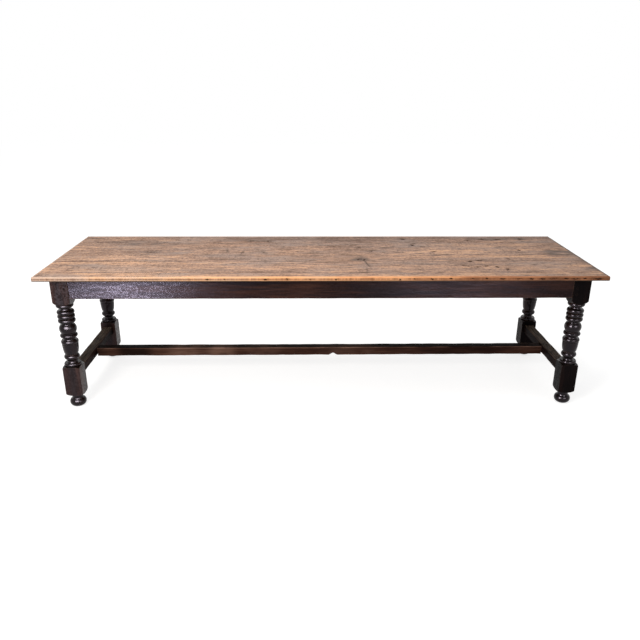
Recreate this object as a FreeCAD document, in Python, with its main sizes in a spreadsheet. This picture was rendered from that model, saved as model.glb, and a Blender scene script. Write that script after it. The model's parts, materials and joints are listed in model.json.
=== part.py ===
import FreeCAD, Part
import os
import Sketcher
from FreeCAD import Placement, Rotation, Vector
from types import SimpleNamespace

# Long farmhouse table: a plank top on a pegged frame of four turned legs, with an H of stretchers near the floor.
# Millimetres. The table runs along X, its front faces -Y, and the floor is at zero height below its centre.

sizes = {
    # plank top, front board first
    "top_length": 2900,
    "top_thickness": 25,
    "front_plank_width": 78,
    "second_plank_width": 222,
    "third_plank_width": 125,
    "fourth_plank_width": 291,
    "back_plank_width": 184,
    "seam_bevel": 1.0,
    "edge_round_top": 7,
    "edge_round_bottom": 5,
    "tongue_thickness": 8,
    "tongue_depth": 12,
    "tongue_end_stop": 90,
    "tongue_clearance": 0.3,
    # how far the top stands out past the legs
    "overhang_end": 61,
    "overhang_side": 65,
    # leg blank and its turned lengths, from the floor up
    "leg_size": 90,
    "leg_arris": 3.5,
    "turning_allowance": 0.4,
    "bun_height": 44,
    "foot_neck_height": 28,
    "foot_shoulder_height": 12,
    "block_below_stretcher": 78,
    "block_above_stretcher": 17,
    "lower_shoulder_height": 11,
    "lower_bead_height": 18,
    "lower_neck_height": 19,
    "vase_ring_height": 26,
    "vase_groove_height": 5,
    "vase_foot_height": 9,
    "vase_body_height": 49,
    "collar_height": 20,
    "collar_neck_height": 16,
    "single_ring_height": 19,
    "ball_groove_height": 5,
    "ball_height": 46,
    "ball_neck_height": 11,
    "ring_height": 23.5,
    "upper_neck_height": 16,
    "upper_bead_height": 18,
    "upper_shoulder_height": 20.5,
    "block_below_rail": 14,
    # how deep each part of the turning goes below the rings
    "shoulder_bulge": 3,
    "bead_depth": 5,
    "ring_depth": 8.5,
    "neck_hollow": 4,
    "upper_neck_depth": 19,
    "ball_neck_depth": 15,
    "collar_neck_depth": 14,
    "collar_depth": 4.5,
    "vase_top_depth": 2.5,
    "vase_bottom_depth": 7.5,
    "vase_bulge": 1.2,
    "vase_groove_depth": 13,
    "vase_ring_depth": 4.6,
    "lower_neck_depth": 19,
    "foot_neck_depth": 17,
    "bun_depth": 1.6,
    "bun_top_depth": 12,
    "bun_bottom_depth": 21,
    # rails
    "rail_height": 113,
    "rail_thickness": 28,
    "rail_setback": 5,
    "rail_arris": 2.5,
    "tenon_thickness": 12,
    "tenon_length": 52,
    "tenon_shoulder": 6,
    "haunch_height": 32,
    "haunch_length": 14,
    "joint_clearance": 0.2,
    # pegs
    "peg_diameter": 9,
    "peg_clearance": 0.1,
    "peg_inset": 20,
    "peg_from_shoulder": 13,
    "peg_spacing": 37,
    "rail_peg_length": 40,
    "stretcher_peg_length": 62,
    # stretchers
    "side_stretcher_width": 58,
    "side_stretcher_height": 50,
    "centre_stretcher_width": 58,
    "centre_stretcher_height": 50,
    "centre_stretcher_drop": 10,
    "stretcher_arris": 4,
    "stretcher_tenon_thickness": 18,
    "stretcher_tenon_shoulder": 8,
    "stretcher_tenon_length": 54,
    "centre_tenon_low": 20,
    "centre_tenon_high": 6,
    "centre_tenon_length": 40,
    "centre_peg_length": 40,
    # bearers under the boards
    "bearer_from_leg": 579,
    "bearer_width": 70,
    "bearer_height": 32,
    "dovetail_length": 16,
    "dovetail_neck": 40,
    "dovetail_flare": 6,
    # buttons that hold the top down to the rails
    "button_width": 45,
    "button_length": 42,
    "button_height": 20,
    "button_lip": 9,
    "button_lip_thickness": 9,
    "slot_clearance": 0.4,
    # slotted screws
    "screw_shank": 5,
    "screw_head": 10,
    "screw_head_height": 4,
    "screw_slot": 1.2,
    "screw_bite": 16,
    "screw_point": 5,
    "screw_clearance": 0.2,
    "screw_seam_inset": 45,
}

doc = FreeCAD.newDocument("FarmhouseTable")
sheet = doc.addObject("Spreadsheet::Sheet", "Sizes")
for row, (alias, value) in enumerate(sizes.items(), 1):
    sheet.set(f"A{row}", alias)
    sheet.set(f"B{row}", str(value))
    sheet.setAlias(f"B{row}", alias)
doc.recompute()


class Size:
    # a length that keeps its number together with the sheet expression that gives it
    def __init__(self, number, text):
        self.number = float(number)
        self.text = text

    def __add__(self, other):
        other = as_size(other)
        return Size(self.number + other.number, f"({self.text} + {other.text})")

    def __sub__(self, other):
        other = as_size(other)
        return Size(self.number - other.number, f"({self.text} - {other.text})")

    def __mul__(self, other):
        other = as_size(other)
        return Size(self.number * other.number, f"({self.text} * {other.text})")

    def __truediv__(self, other):
        other = as_size(other)
        return Size(self.number / other.number, f"({self.text} / {other.text})")

    def __neg__(self):
        return self * -1

    __radd__ = __add__
    __rmul__ = __mul__


def as_size(value):
    if isinstance(value, Size):
        return value
    return Size(value, f"({float(value)})")


s = SimpleNamespace(**{alias: Size(sheet.get(alias), f"Sizes.{alias}") for alias in sizes})
quarter_round = 1 - 0.5 ** 0.5
nodes = []


def new_body(label, x, y, z):
    body = doc.addObject("PartDesign::Body", label)
    body.Label = label
    body.setExpression("Placement.Base.x", as_size(x).text)
    body.setExpression("Placement.Base.y", as_size(y).text)
    body.setExpression("Placement.Base.z", as_size(z).text)
    return body


def new_sketch(body, name, role, level=0):
    plane = next(item for item in body.Origin.OriginFeatures if item.Role == role)
    sketch = body.newObject("Sketcher::SketchObject", f"{body.Label}_{name}")
    sketch.AttachmentSupport = (plane, [""])
    sketch.MapMode = "FlatFace"
    sketch.setExpression("AttachmentOffset.Base.z", as_size(level).text)
    return sketch


def fix_point(sketch, geometry, place, across, up):
    for kind, size, axis in (("DistanceX", across, -2), ("DistanceY", up, -1)):
        if abs(size.number) < 1e-9:
            sketch.addConstraint(Sketcher.Constraint("PointOnObject", geometry, place, axis))
        else:
            index = sketch.addConstraint(Sketcher.Constraint(kind, -1, 1, geometry, place, size.number))
            sketch.setExpression(f"Constraints[{index}]", size.text)


def draw_outline(sketch, points):
    # a corner is (across, up), with a bulge as third value where the edge that leaves it is an arc
    corners = [[as_size(value) for value in point] for point in points]
    ends = []
    arcs = []
    for here, following in zip(corners, corners[1:] + corners[:1]):
        start = Vector(here[0].number, here[1].number, 0)
        finish = Vector(following[0].number, following[1].number, 0)
        if len(here) == 2:
            index = sketch.addGeometry(Part.LineSegment(start, finish), False)
        else:
            chord = finish - start
            left = Vector(-chord.y, chord.x, 0).normalize()
            middle = (start + finish) * 0.5 + left * here[2].number
            index = sketch.addGeometry(Part.Arc(start, middle, finish), False)
            across = following[0] - here[0]
            up = following[1] - here[1]
            bulge = here[2] if here[2].number > 0 else -here[2]
            arcs.append((index, ((across * across + up * up) / 4 + bulge * bulge) / (bulge * 2)))
        forward = (sketch.getPoint(index, 1) - start).Length < 1e-6
        ends.append((index, 1, 2) if forward else (index, 2, 1))
    for before, here in zip(ends[-1:] + ends[:-1], ends):
        sketch.addConstraint(Sketcher.Constraint("Coincident", before[0], before[2], here[0], here[1]))
    for corner, end in zip(corners, ends):
        fix_point(sketch, end[0], end[1], corner[0], corner[1])
    for index, radius in arcs:
        place = sketch.addConstraint(Sketcher.Constraint("Radius", index, radius.number))
        sketch.setExpression(f"Constraints[{place}]", radius.text)


def draw_box(sketch, left, right, bottom, top):
    draw_outline(sketch, [(left, bottom), (right, bottom), (right, top), (left, top)])


def draw_hole(sketch, across, up, diameter):
    across = as_size(across)
    up = as_size(up)
    centre = Vector(across.number, up.number, 0)
    index = sketch.addGeometry(Part.Circle(centre, Vector(0, 0, 1), diameter.number / 2), False)
    fix_point(sketch, index, 3, across, up)
    place = sketch.addConstraint(Sketcher.Constraint("Diameter", index, diameter.number))
    sketch.setExpression(f"Constraints[{place}]", diameter.text)


def extrude(body, kind, sketch, length, sides="One side", reverse=False):
    feature = body.newObject(f"PartDesign::{kind}", f"{sketch.Name}_{kind.lower()}")
    feature.Profile = sketch
    feature.SideType = sides
    feature.Reversed = reverse
    feature.setExpression("Length", as_size(length).text)
    sketch.Visibility = False
    return feature


# heights above the floor
lower_block_bottom = s.bun_height + s.foot_neck_height + s.foot_shoulder_height
stretcher_bottom = lower_block_bottom + s.block_below_stretcher
lower_block_top = stretcher_bottom + s.side_stretcher_height + s.block_above_stretcher
vase_bottom = (lower_block_top + s.lower_shoulder_height + s.lower_bead_height + s.lower_neck_height
               + s.vase_ring_height + s.vase_groove_height)
ring_stack_bottom = (vase_bottom + s.vase_foot_height + s.vase_body_height + s.collar_height
                     + s.collar_neck_height + s.single_ring_height + s.ball_groove_height
                     + s.ball_height + s.ball_neck_height)
upper_block_bottom = (ring_stack_bottom + s.ring_height * 3 + s.upper_neck_height
                      + s.upper_bead_height + s.upper_shoulder_height)
rail_bottom = upper_block_bottom + s.block_below_rail
leg_length = rail_bottom + s.rail_height

# places in plan
plank_widths = [s.front_plank_width, s.second_plank_width, s.third_plank_width,
                s.fourth_plank_width, s.back_plank_width]
top_width = sum(plank_widths[1:], plank_widths[0])
half_leg = s.leg_size / 2
leg_x = s.top_length / 2 - s.overhang_end - half_leg
leg_y = top_width / 2 - s.overhang_side - half_leg
rail_offset = half_leg - s.rail_setback - s.rail_thickness / 2
rail_inside = rail_offset - s.rail_thickness / 2
long_rail_inner_y = leg_y + rail_inside
end_rail_inner_x = leg_x + rail_inside
seams = [top_width / -2]
for width in plank_widths:
    seams.append(seams[-1] + width)
leg_inner_x = leg_x - half_leg
bearer_x = leg_inner_x - s.bearer_from_leg
bearer_places = [-bearer_x, as_size(0), bearer_x]
outer_button_x = (bearer_x + leg_inner_x) / 2
long_button_places = [-outer_button_x, bearer_x / -2, bearer_x / 2, outer_button_x]
end_button_places = [(seams[2] + seams[3]) / 2, (seams[3] + seams[4]) / 2]
button_reach = s.button_length * 0.55
bearer_screw_places = [
    (1, seams[1] + s.screw_seam_inset),
    (1, seams[2] - s.screw_seam_inset),
    (2, (seams[2] + seams[3]) / 2),
    (3, seams[3] + s.screw_seam_inset),
    (3, seams[4] - s.screw_seam_inset),
    (4, seams[4] + s.screw_seam_inset),
]
button_spots = [(1, x, -long_rail_inner_y + button_reach) for x in long_button_places]
button_spots += [(4, x, long_rail_inner_y - button_reach) for x in long_button_places]
for side in (-1, 1):
    for plank, y in zip((2, 3), end_button_places):
        button_spots.append((plank, (end_rail_inner_x - button_reach) * side, y))

peg_hole = s.peg_diameter + s.peg_clearance * 2
screw_hole = s.screw_shank + s.screw_clearance * 2
mortise_width = s.tenon_thickness + s.joint_clearance * 2
tenon_top = s.rail_height - s.haunch_height
peg_levels = [s.tenon_shoulder + s.peg_from_shoulder, s.tenon_shoulder + s.peg_from_shoulder + s.peg_spacing]
stretcher_peg_level = s.side_stretcher_height / 2
screw_depth = s.screw_bite + s.screw_clearance

# turned profile of a leg, read from the upper block down to the lower one
ring_radius = half_leg - s.turning_allowance
corner_radius = s.leg_size * 0.71
clear_radius = s.leg_size * 0.8
groove_radius = ring_radius - s.ring_depth
bead_radius = ring_radius - s.bead_depth


def turn_neck(points, level, height, depth):
    radius = ring_radius - depth + s.neck_hollow
    points.append((radius, level, -s.neck_hollow))
    points.append((radius, level - height))
    return level - height


def turned_outline():
    level = upper_block_bottom
    points = [(clear_radius, level), (corner_radius, level, s.shoulder_bulge)]
    level = level - s.upper_shoulder_height
    points += [(ring_radius, level), (bead_radius, level, s.bead_depth)]
    level = level - s.upper_bead_height
    points.append((bead_radius, level))
    level = turn_neck(points, level, s.upper_neck_height, s.upper_neck_depth)
    for count in range(3):
        points.append((groove_radius, level, s.ring_depth))
        level = level - s.ring_height
    points.append((groove_radius, level))
    level = turn_neck(points, level, s.ball_neck_height, s.ball_neck_depth)
    points.append((groove_radius, level, s.ring_depth))
    level = level - s.ball_height
    points.append((groove_radius, level))
    level = level - s.ball_groove_height
    points.append((groove_radius, level, s.ring_depth))
    level = level - s.single_ring_height
    points.append((groove_radius, level))
    level = turn_neck(points, level, s.collar_neck_height, s.collar_neck_depth)
    collar_radius = ring_radius - s.collar_depth
    points.append((collar_radius, level, s.collar_depth))
    level = level - s.collar_height
    vase_top_radius = ring_radius - s.vase_top_depth
    vase_bottom_radius = ring_radius - s.vase_bottom_depth
    vase_groove_radius = ring_radius - s.vase_groove_depth
    points += [(collar_radius, level), (vase_top_radius, level, s.vase_bulge)]
    level = level - s.vase_body_height
    points.append((vase_bottom_radius, level, s.vase_bulge))
    level = level - s.vase_foot_height
    points.append((vase_groove_radius, level))
    level = level - s.vase_groove_height
    points.append((vase_groove_radius, level, s.vase_groove_depth - s.vase_ring_depth))
    level = level - s.vase_ring_height
    points.append((vase_groove_radius, level))
    level = turn_neck(points, level, s.lower_neck_height, s.lower_neck_depth)
    points.append((bead_radius, level, s.bead_depth))
    level = level - s.lower_bead_height
    points += [(bead_radius, level), (ring_radius, level, s.shoulder_bulge)]
    level = level - s.lower_shoulder_height
    points += [(corner_radius, level), (clear_radius, level)]
    return points


def foot_outline():
    level = lower_block_bottom
    points = [(clear_radius, level), (corner_radius, level, s.shoulder_bulge)]
    level = level - s.foot_shoulder_height
    points.append((bead_radius, level))
    level = turn_neck(points, level, s.foot_neck_height, s.foot_neck_depth)
    bun_top_radius = ring_radius - s.bun_top_depth
    bun_bottom_radius = ring_radius - s.bun_bottom_depth
    crown = (s.bun_top_depth + s.bun_bottom_depth) / 2 - s.bun_depth
    points.append((bun_top_radius, level, crown))
    points.append((bun_bottom_radius, 0))
    points.append((bun_bottom_radius, -s.bun_depth))
    points.append((clear_radius, -s.bun_depth))
    return points


def turn(body, name, points):
    sketch = new_sketch(body, name, "XZ_Plane")
    draw_outline(sketch, points)
    groove = body.newObject("PartDesign::Groove", f"{sketch.Name}_groove")
    groove.Profile = sketch
    groove.ReferenceAxis = (sketch, ["V_Axis"])
    groove.Angle = 360
    sketch.Visibility = False


def make_leg(label, right, back):
    # right and back are +1 or -1: the corner of the table that this leg stands at
    leg = new_body(label, leg_x * right, leg_y * back, 0)
    blank = new_sketch(leg, "blank", "XY_Plane")
    flat = half_leg - s.leg_arris
    corner = s.leg_arris * -quarter_round
    draw_outline(blank, [
        (-flat, -half_leg), (flat, -half_leg, corner), (half_leg, -flat), (half_leg, flat, corner),
        (flat, half_leg), (-flat, half_leg, corner), (-half_leg, flat), (-half_leg, -flat, corner),
    ])
    extrude(leg, "Pad", blank, leg_length)
    turn(leg, "turning", turned_outline())
    turn(leg, "foot", foot_outline())
    gap = s.joint_clearance
    long_cheeks = [(rail_offset - mortise_width / 2) * back, (rail_offset + mortise_width / 2) * back]
    end_cheeks = [(rail_offset - mortise_width / 2) * right, (rail_offset + mortise_width / 2) * right]
    entry_x = half_leg * -right
    entry_y = half_leg * -back
    deep = s.tenon_length + gap
    shallow = s.haunch_length + gap
    for name, reach, level, depth in (
        ("mortises", deep, rail_bottom + tenon_top + gap, tenon_top - s.tenon_shoulder + gap * 2),
        ("haunches", shallow, leg_length, s.haunch_height - gap),
    ):
        sketch = new_sketch(leg, name, "XY_Plane", level)
        draw_box(sketch, entry_x, entry_x + reach * right, long_cheeks[0], long_cheeks[1])
        draw_box(sketch, end_cheeks[0], end_cheeks[1], entry_y, entry_y + reach * back)
        extrude(leg, "Pocket", sketch, depth)
    wide = s.stretcher_tenon_thickness / 2 + gap
    tall = s.side_stretcher_height - s.stretcher_tenon_shoulder * 2 + gap * 2
    sketch = new_sketch(leg, "stretcher_mortise", "XY_Plane",
                        stretcher_bottom + s.side_stretcher_height - s.stretcher_tenon_shoulder + gap)
    draw_box(sketch, -wide, wide, entry_y, entry_y + (s.stretcher_tenon_length + gap) * back)
    extrude(leg, "Pocket", sketch, tall)
    sketch = new_sketch(leg, "long_rail_peg_holes", "XZ_Plane", half_leg * -back)
    for level in peg_levels:
        draw_hole(sketch, entry_x + s.peg_inset * right, rail_bottom + level, peg_hole)
    extrude(leg, "Pocket", sketch, s.rail_peg_length + s.peg_clearance, reverse=back > 0)
    sketch = new_sketch(leg, "end_rail_peg_holes", "YZ_Plane", half_leg * right)
    for level in peg_levels:
        draw_hole(sketch, entry_y + s.peg_inset * back, rail_bottom + level, peg_hole)
    extrude(leg, "Pocket", sketch, s.rail_peg_length + s.peg_clearance, reverse=right < 0)
    sketch = new_sketch(leg, "stretcher_peg_hole", "YZ_Plane", half_leg * right)
    draw_hole(sketch, entry_y + s.peg_inset * back, stretcher_bottom + stretcher_peg_level, peg_hole)
    extrude(leg, "Pocket", sketch, s.stretcher_peg_length + s.peg_clearance, reverse=right < 0)
    nodes.append(leg)


def rounded_section(sketch, width, height, bottom_arris, top_arris):
    half = width / 2
    low = bottom_arris * -quarter_round
    points = [(bottom_arris - half, 0), (half - bottom_arris, 0, low), (half, bottom_arris)]
    if top_arris is None:
        points += [(half, height), (-half, height)]
    else:
        high = top_arris * -quarter_round
        points += [(half, height - top_arris, high), (half - top_arris, height)]
        points += [(top_arris - half, height, high), (-half, height - top_arris)]
    points.append((-half, bottom_arris, low))
    draw_outline(sketch, points)


def make_bar(label, along, x, y, z, width, height, arrises, half_span, tenon):
    # a rail or stretcher with a shouldered tenon at each end; along is "x" or "y"
    bar = new_body(label, x, y, z)
    section_plane, side_plane = ("YZ_Plane", "XZ_Plane") if along == "x" else ("XZ_Plane", "YZ_Plane")
    section = new_sketch(bar, "section", section_plane)
    rounded_section(section, width, height, *arrises)
    reach = half_span + tenon.length
    past = reach + tenon.low
    extrude(bar, "Pad", section, reach * 2, "Symmetric")
    cheeks = new_sketch(bar, "cheeks", "XY_Plane")
    for end in (-1, 1):
        for side in (-1, 1):
            lengthwise = (half_span * end, past * end)
            crosswise = (tenon.thickness / 2 * side, width * side)
            if along == "x":
                draw_box(cheeks, *lengthwise, *crosswise)
            else:
                draw_box(cheeks, *crosswise, *lengthwise)
    extrude(bar, "Pocket", cheeks, height * 3, "Symmetric")
    shoulders = new_sketch(bar, "shoulders", side_plane)
    for end in (-1, 1):
        draw_box(shoulders, half_span * end, past * end, -tenon.low, tenon.low)
        if tenon.haunch is None:
            draw_box(shoulders, half_span * end, past * end, height - tenon.high, height + tenon.high)
        else:
            draw_box(shoulders, (half_span + tenon.haunch) * end, past * end, height - tenon.high, height * 2)
    extrude(bar, "Pocket", shoulders, width * 3, "Symmetric")
    nodes.append(bar)
    return bar


rail_tenon = SimpleNamespace(length=s.tenon_length, thickness=s.tenon_thickness, low=s.tenon_shoulder,
                             high=s.haunch_height, haunch=s.haunch_length)
stretcher_tenon = SimpleNamespace(length=s.stretcher_tenon_length, thickness=s.stretcher_tenon_thickness,
                                  low=s.stretcher_tenon_shoulder, high=s.stretcher_tenon_shoulder, haunch=None)
centre_tenon = SimpleNamespace(length=s.centre_tenon_length, thickness=s.stretcher_tenon_thickness,
                               low=s.centre_tenon_low, high=s.centre_tenon_high, haunch=None)

# the slot's roof bears on the button's lip, which is what draws the top down
slot_roof = s.rail_height - s.button_height + s.button_lip_thickness
slot_height = s.button_lip_thickness + s.slot_clearance
slot_half = s.button_width / 2 + s.slot_clearance
slot_depth = s.button_lip + s.slot_clearance


def make_long_rail(label, back):
    half_span = leg_x - half_leg
    rail = make_bar(label, "x", 0, (leg_y + rail_offset) * back, rail_bottom, s.rail_thickness, s.rail_height,
                    (s.rail_arris, None), half_span, rail_tenon)
    inner = s.rail_thickness / 2 * -back
    gap = s.joint_clearance
    sketch = new_sketch(rail, "dovetail_sockets", "XY_Plane", s.rail_height)
    for x in bearer_places:
        neck = s.dovetail_neck / 2 + gap
        tail = neck + s.dovetail_flare
        floor = inner + (s.dovetail_length + gap) * back
        draw_outline(sketch, [(x - neck, inner), (x + neck, inner), (x + tail, floor), (x - tail, floor)])
    extrude(rail, "Pocket", sketch, s.bearer_height)
    sketch = new_sketch(rail, "button_slots", "XY_Plane", slot_roof)
    for x in long_button_places:
        draw_box(sketch, x - slot_half, x + slot_half, inner, inner + slot_depth * back)
    extrude(rail, "Pocket", sketch, slot_height)
    sketch = new_sketch(rail, "peg_holes", "XZ_Plane")
    for end in (-1, 1):
        for level in peg_levels:
            draw_hole(sketch, (half_span + s.peg_inset) * end, level, peg_hole)
    extrude(rail, "Pocket", sketch, s.rail_thickness * 2, "Symmetric")


def make_end_rail(label, right):
    half_span = leg_y - half_leg
    rail = make_bar(label, "y", (leg_x + rail_offset) * right, 0, rail_bottom, s.rail_thickness, s.rail_height,
                    (s.rail_arris, None), half_span, rail_tenon)
    inner = s.rail_thickness / 2 * -right
    sketch = new_sketch(rail, "button_slots", "XY_Plane", slot_roof)
    for y in end_button_places:
        draw_box(sketch, inner, inner + slot_depth * right, y - slot_half, y + slot_half)
    extrude(rail, "Pocket", sketch, slot_height)
    sketch = new_sketch(rail, "peg_holes", "YZ_Plane")
    for end in (-1, 1):
        for level in peg_levels:
            draw_hole(sketch, (half_span + s.peg_inset) * end, level, peg_hole)
    extrude(rail, "Pocket", sketch, s.rail_thickness * 2, "Symmetric")


# the centre stretcher's tenons lie this far above the underside of the side stretchers
centre_bottom = stretcher_bottom - s.centre_stretcher_drop
centre_tenon_bottom = s.centre_tenon_low - s.centre_stretcher_drop
centre_tenon_height = s.centre_stretcher_height - s.centre_tenon_low - s.centre_tenon_high
side_stretcher_inner_x = leg_x - s.side_stretcher_width / 2


def make_side_stretcher(label, right):
    half_span = leg_y - half_leg
    bar = make_bar(label, "y", leg_x * right, 0, stretcher_bottom, s.side_stretcher_width, s.side_stretcher_height,
                   (s.stretcher_arris, s.stretcher_arris), half_span, stretcher_tenon)
    gap = s.joint_clearance
    inner = s.side_stretcher_width / 2 * -right
    wide = s.stretcher_tenon_thickness / 2 + gap
    sketch = new_sketch(bar, "centre_mortise", "XY_Plane", centre_tenon_bottom + centre_tenon_height + gap)
    draw_box(sketch, inner, inner + (s.centre_tenon_length + gap) * right, -wide, wide)
    extrude(bar, "Pocket", sketch, centre_tenon_height + gap * 2)
    sketch = new_sketch(bar, "peg_holes", "YZ_Plane")
    for end in (-1, 1):
        draw_hole(sketch, (half_span + s.peg_inset) * end, stretcher_peg_level, peg_hole)
    extrude(bar, "Pocket", sketch, s.side_stretcher_width * 2, "Symmetric")
    sketch = new_sketch(bar, "centre_peg_hole", "XY_Plane", s.side_stretcher_height)
    draw_hole(sketch, inner + s.peg_inset * right, 0, peg_hole)
    extrude(bar, "Pocket", sketch, s.centre_peg_length + s.peg_clearance)


def make_centre_stretcher(label):
    bar = make_bar(label, "x", 0, 0, centre_bottom, s.centre_stretcher_width, s.centre_stretcher_height,
                   (s.stretcher_arris, s.stretcher_arris), side_stretcher_inner_x, centre_tenon)
    sketch = new_sketch(bar, "peg_holes", "XY_Plane", s.centre_stretcher_height)
    for end in (-1, 1):
        draw_hole(sketch, (side_stretcher_inner_x + s.peg_inset) * end, 0, peg_hole)
    extrude(bar, "Pocket", sketch, s.centre_stretcher_height)


groove_bottom = (s.top_thickness - s.tongue_thickness) / 2
groove_half = s.top_length / 2 - s.tongue_end_stop


def make_plank(label, number):
    width = plank_widths[number]
    thick = s.top_thickness
    first = number == 0
    last = number == len(plank_widths) - 1
    plank = new_body(label, 0, seams[number], leg_length)
    high = s.edge_round_top
    low = s.edge_round_bottom
    bevel = s.seam_bevel
    points = [(low, 0)] if first else [(0, 0)]
    if last:
        points += [(width - low, 0, low * -quarter_round), (width, low)]
        points += [(width, thick - high, high * -quarter_round), (width - high, thick)]
    else:
        points += [(width, 0), (width, thick - bevel), (width - bevel, thick)]
    if first:
        points += [(high, thick, high * -quarter_round), (0, thick - high)]
        points.append((0, low, low * -quarter_round))
    else:
        points += [(bevel, thick), (0, thick - bevel)]
    section = new_sketch(plank, "section", "YZ_Plane")
    draw_outline(section, points)
    extrude(plank, "Pad", section, s.top_length, "Symmetric")
    corners = new_sketch(plank, "end_rounds", "XZ_Plane")
    for end in (-1, 1):
        tip = s.top_length / 2 * end
        clear = tip + high * end
        draw_outline(corners, [(tip - high * end, thick, high * quarter_round * end), (tip, thick - high),
                               (clear, thick - high), (clear, thick + high), (tip - high * end, thick + high)])
        draw_outline(corners, [(tip - low * end, 0, low * quarter_round * -end), (tip, low),
                               (clear, low), (clear, -low), (tip - low * end, -low)])
    extrude(plank, "Pocket", corners, width * 3, "Symmetric")
    reach = s.tongue_depth + s.tongue_clearance
    grooves = new_sketch(plank, "grooves", "XY_Plane", groove_bottom + s.tongue_thickness + s.tongue_clearance)
    if not first:
        draw_box(grooves, -groove_half, groove_half, 0, reach)
    if not last:
        draw_box(grooves, -groove_half, groove_half, width - reach, width)
    extrude(plank, "Pocket", grooves, s.tongue_thickness + s.tongue_clearance)
    spots = [(x, y) for place, y in bearer_screw_places if place == number for x in bearer_places]
    spots += [(x, y) for place, x, y in button_spots if place == number]
    if spots:
        pilots = new_sketch(plank, "pilot_holes", "XY_Plane")
        for x, y in spots:
            draw_hole(pilots, x, y - seams[number], screw_hole)
        extrude(plank, "Pocket", pilots, screw_depth, reverse=True)
    nodes.append(plank)


def make_tongue(label, number):
    tongue = new_body(label, 0, seams[number], leg_length + groove_bottom)
    sketch = new_sketch(tongue, "strip", "XY_Plane")
    half = groove_half - s.tongue_clearance
    draw_box(sketch, -half, half, -s.tongue_depth, s.tongue_depth)
    extrude(tongue, "Pad", sketch, s.tongue_thickness)
    nodes.append(tongue)


def make_bearer(label, x):
    bearer = new_body(label, x, 0, leg_length - s.bearer_height)
    half = s.bearer_width / 2
    neck = s.dovetail_neck / 2
    tail = neck + s.dovetail_flare
    shoulder = long_rail_inner_y
    tip = shoulder + s.dovetail_length
    sketch = new_sketch(bearer, "plan", "XY_Plane")
    draw_outline(sketch, [
        (-half, -shoulder), (-neck, -shoulder), (-tail, -tip), (tail, -tip), (neck, -shoulder), (half, -shoulder),
        (half, shoulder), (neck, shoulder), (tail, tip), (-tail, tip), (-neck, shoulder), (-half, shoulder),
    ])
    extrude(bearer, "Pad", sketch, s.bearer_height)
    holes = new_sketch(bearer, "screw_holes", "XY_Plane", s.bearer_height)
    for place, y in bearer_screw_places:
        draw_hole(holes, 0, y, screw_hole)
    extrude(bearer, "Pocket", holes, s.bearer_height)
    nodes.append(bearer)


def make_screw(label, length):
    # round head below zero, point up
    screw = doc.addObject("PartDesign::Body", label)
    screw.Label = label
    shank = s.screw_shank / 2
    head = s.screw_head / 2
    sketch = new_sketch(screw, "profile", "XZ_Plane")
    draw_outline(sketch, [(0, -s.screw_head_height, s.screw_head_height * -0.3), (head, 0), (shank, 0),
                          (shank, length - s.screw_point), (0, length)])
    turned = screw.newObject("PartDesign::Revolution", f"{label}_turned")
    turned.Profile = sketch
    turned.ReferenceAxis = (sketch, ["V_Axis"])
    turned.Angle = 360
    sketch.Visibility = False
    slot = new_sketch(screw, "slot", "XY_Plane", s.screw_head_height / -2)
    draw_box(slot, -s.screw_head, s.screw_head, s.screw_slot / -2, s.screw_slot / 2)
    extrude(screw, "Pocket", slot, s.screw_head_height)
    return screw


def make_button():
    # the lip points to -Y and hooks into the rail; the block lies behind it, under the boards
    button = doc.addObject("PartDesign::Body", "button")
    sketch = new_sketch(button, "profile", "YZ_Plane")
    draw_outline(sketch, [
        (-s.button_lip, -s.button_height), (s.button_length, -s.button_height), (s.button_length, 0), (0, 0),
        (0, s.button_lip_thickness - s.button_height), (-s.button_lip, s.button_lip_thickness - s.button_height),
    ])
    extrude(button, "Pad", sketch, s.button_width, "Symmetric")
    hole = new_sketch(button, "screw_hole", "XY_Plane")
    draw_hole(hole, 0, button_reach, screw_hole)
    extrude(button, "Pocket", hole, s.button_height)
    return button


def place_copies(label, original, spots):
    # a spot is (x, y, z, turn about the upright in degrees)
    links = []
    for count, (x, y, z, angle) in enumerate(spots, 1):
        link = doc.addObject("App::Link", f"{label}_{count}")
        link.LinkedObject = original
        link.Placement = Placement(Vector(), Rotation(Vector(0, 0, 1), angle))
        link.setExpression("Placement.Base.x", as_size(x).text)
        link.setExpression("Placement.Base.y", as_size(y).text)
        link.setExpression("Placement.Base.z", as_size(z).text)
        links.append(link)
    group = doc.addObject("Part::Compound", label)
    group.Label = label
    group.Links = links
    nodes.append(group)


def make_pegs(label, length, spots):
    # a spot is (x, y, z, axis, angle): the turn lays the upright pin along the way it is driven
    pegs = []
    for count, (x, y, z, axis, angle) in enumerate(spots, 1):
        peg = doc.addObject("Part::Cylinder", f"{label}_{count}")
        peg.setExpression("Radius", (s.peg_diameter / 2).text)
        peg.setExpression("Height", length.text)
        peg.Placement = Placement(Vector(), Rotation(axis, angle))
        peg.setExpression("Placement.Base.x", as_size(x).text)
        peg.setExpression("Placement.Base.y", as_size(y).text)
        peg.setExpression("Placement.Base.z", as_size(z).text)
        pegs.append(peg)
    group = doc.addObject("Part::Compound", label)
    group.Label = label
    group.Links = pegs
    nodes.append(group)


along_x = Vector(1, 0, 0)
along_y = Vector(0, 1, 0)
sides = {"left": -1, "right": 1}
depths = {"front": -1, "back": 1}

for number, name in enumerate(("front", "second", "third", "fourth", "back")):
    make_plank(f"{name}_plank", number)
for number in range(1, 5):
    make_tongue(f"plank_tongue_{number}", number)
for depth_name, back in depths.items():
    for side_name, right in sides.items():
        make_leg(f"{depth_name}_{side_name}_leg", right, back)
for depth_name, back in depths.items():
    make_long_rail(f"{depth_name}_rail", back)
for side_name, right in sides.items():
    make_end_rail(f"{side_name}_end_rail", right)
    make_side_stretcher(f"{side_name}_stretcher", right)
make_centre_stretcher("centre_stretcher")
for name, x in zip(("left", "middle", "right"), bearer_places):
    make_bearer(f"{name}_bearer", x)

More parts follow.
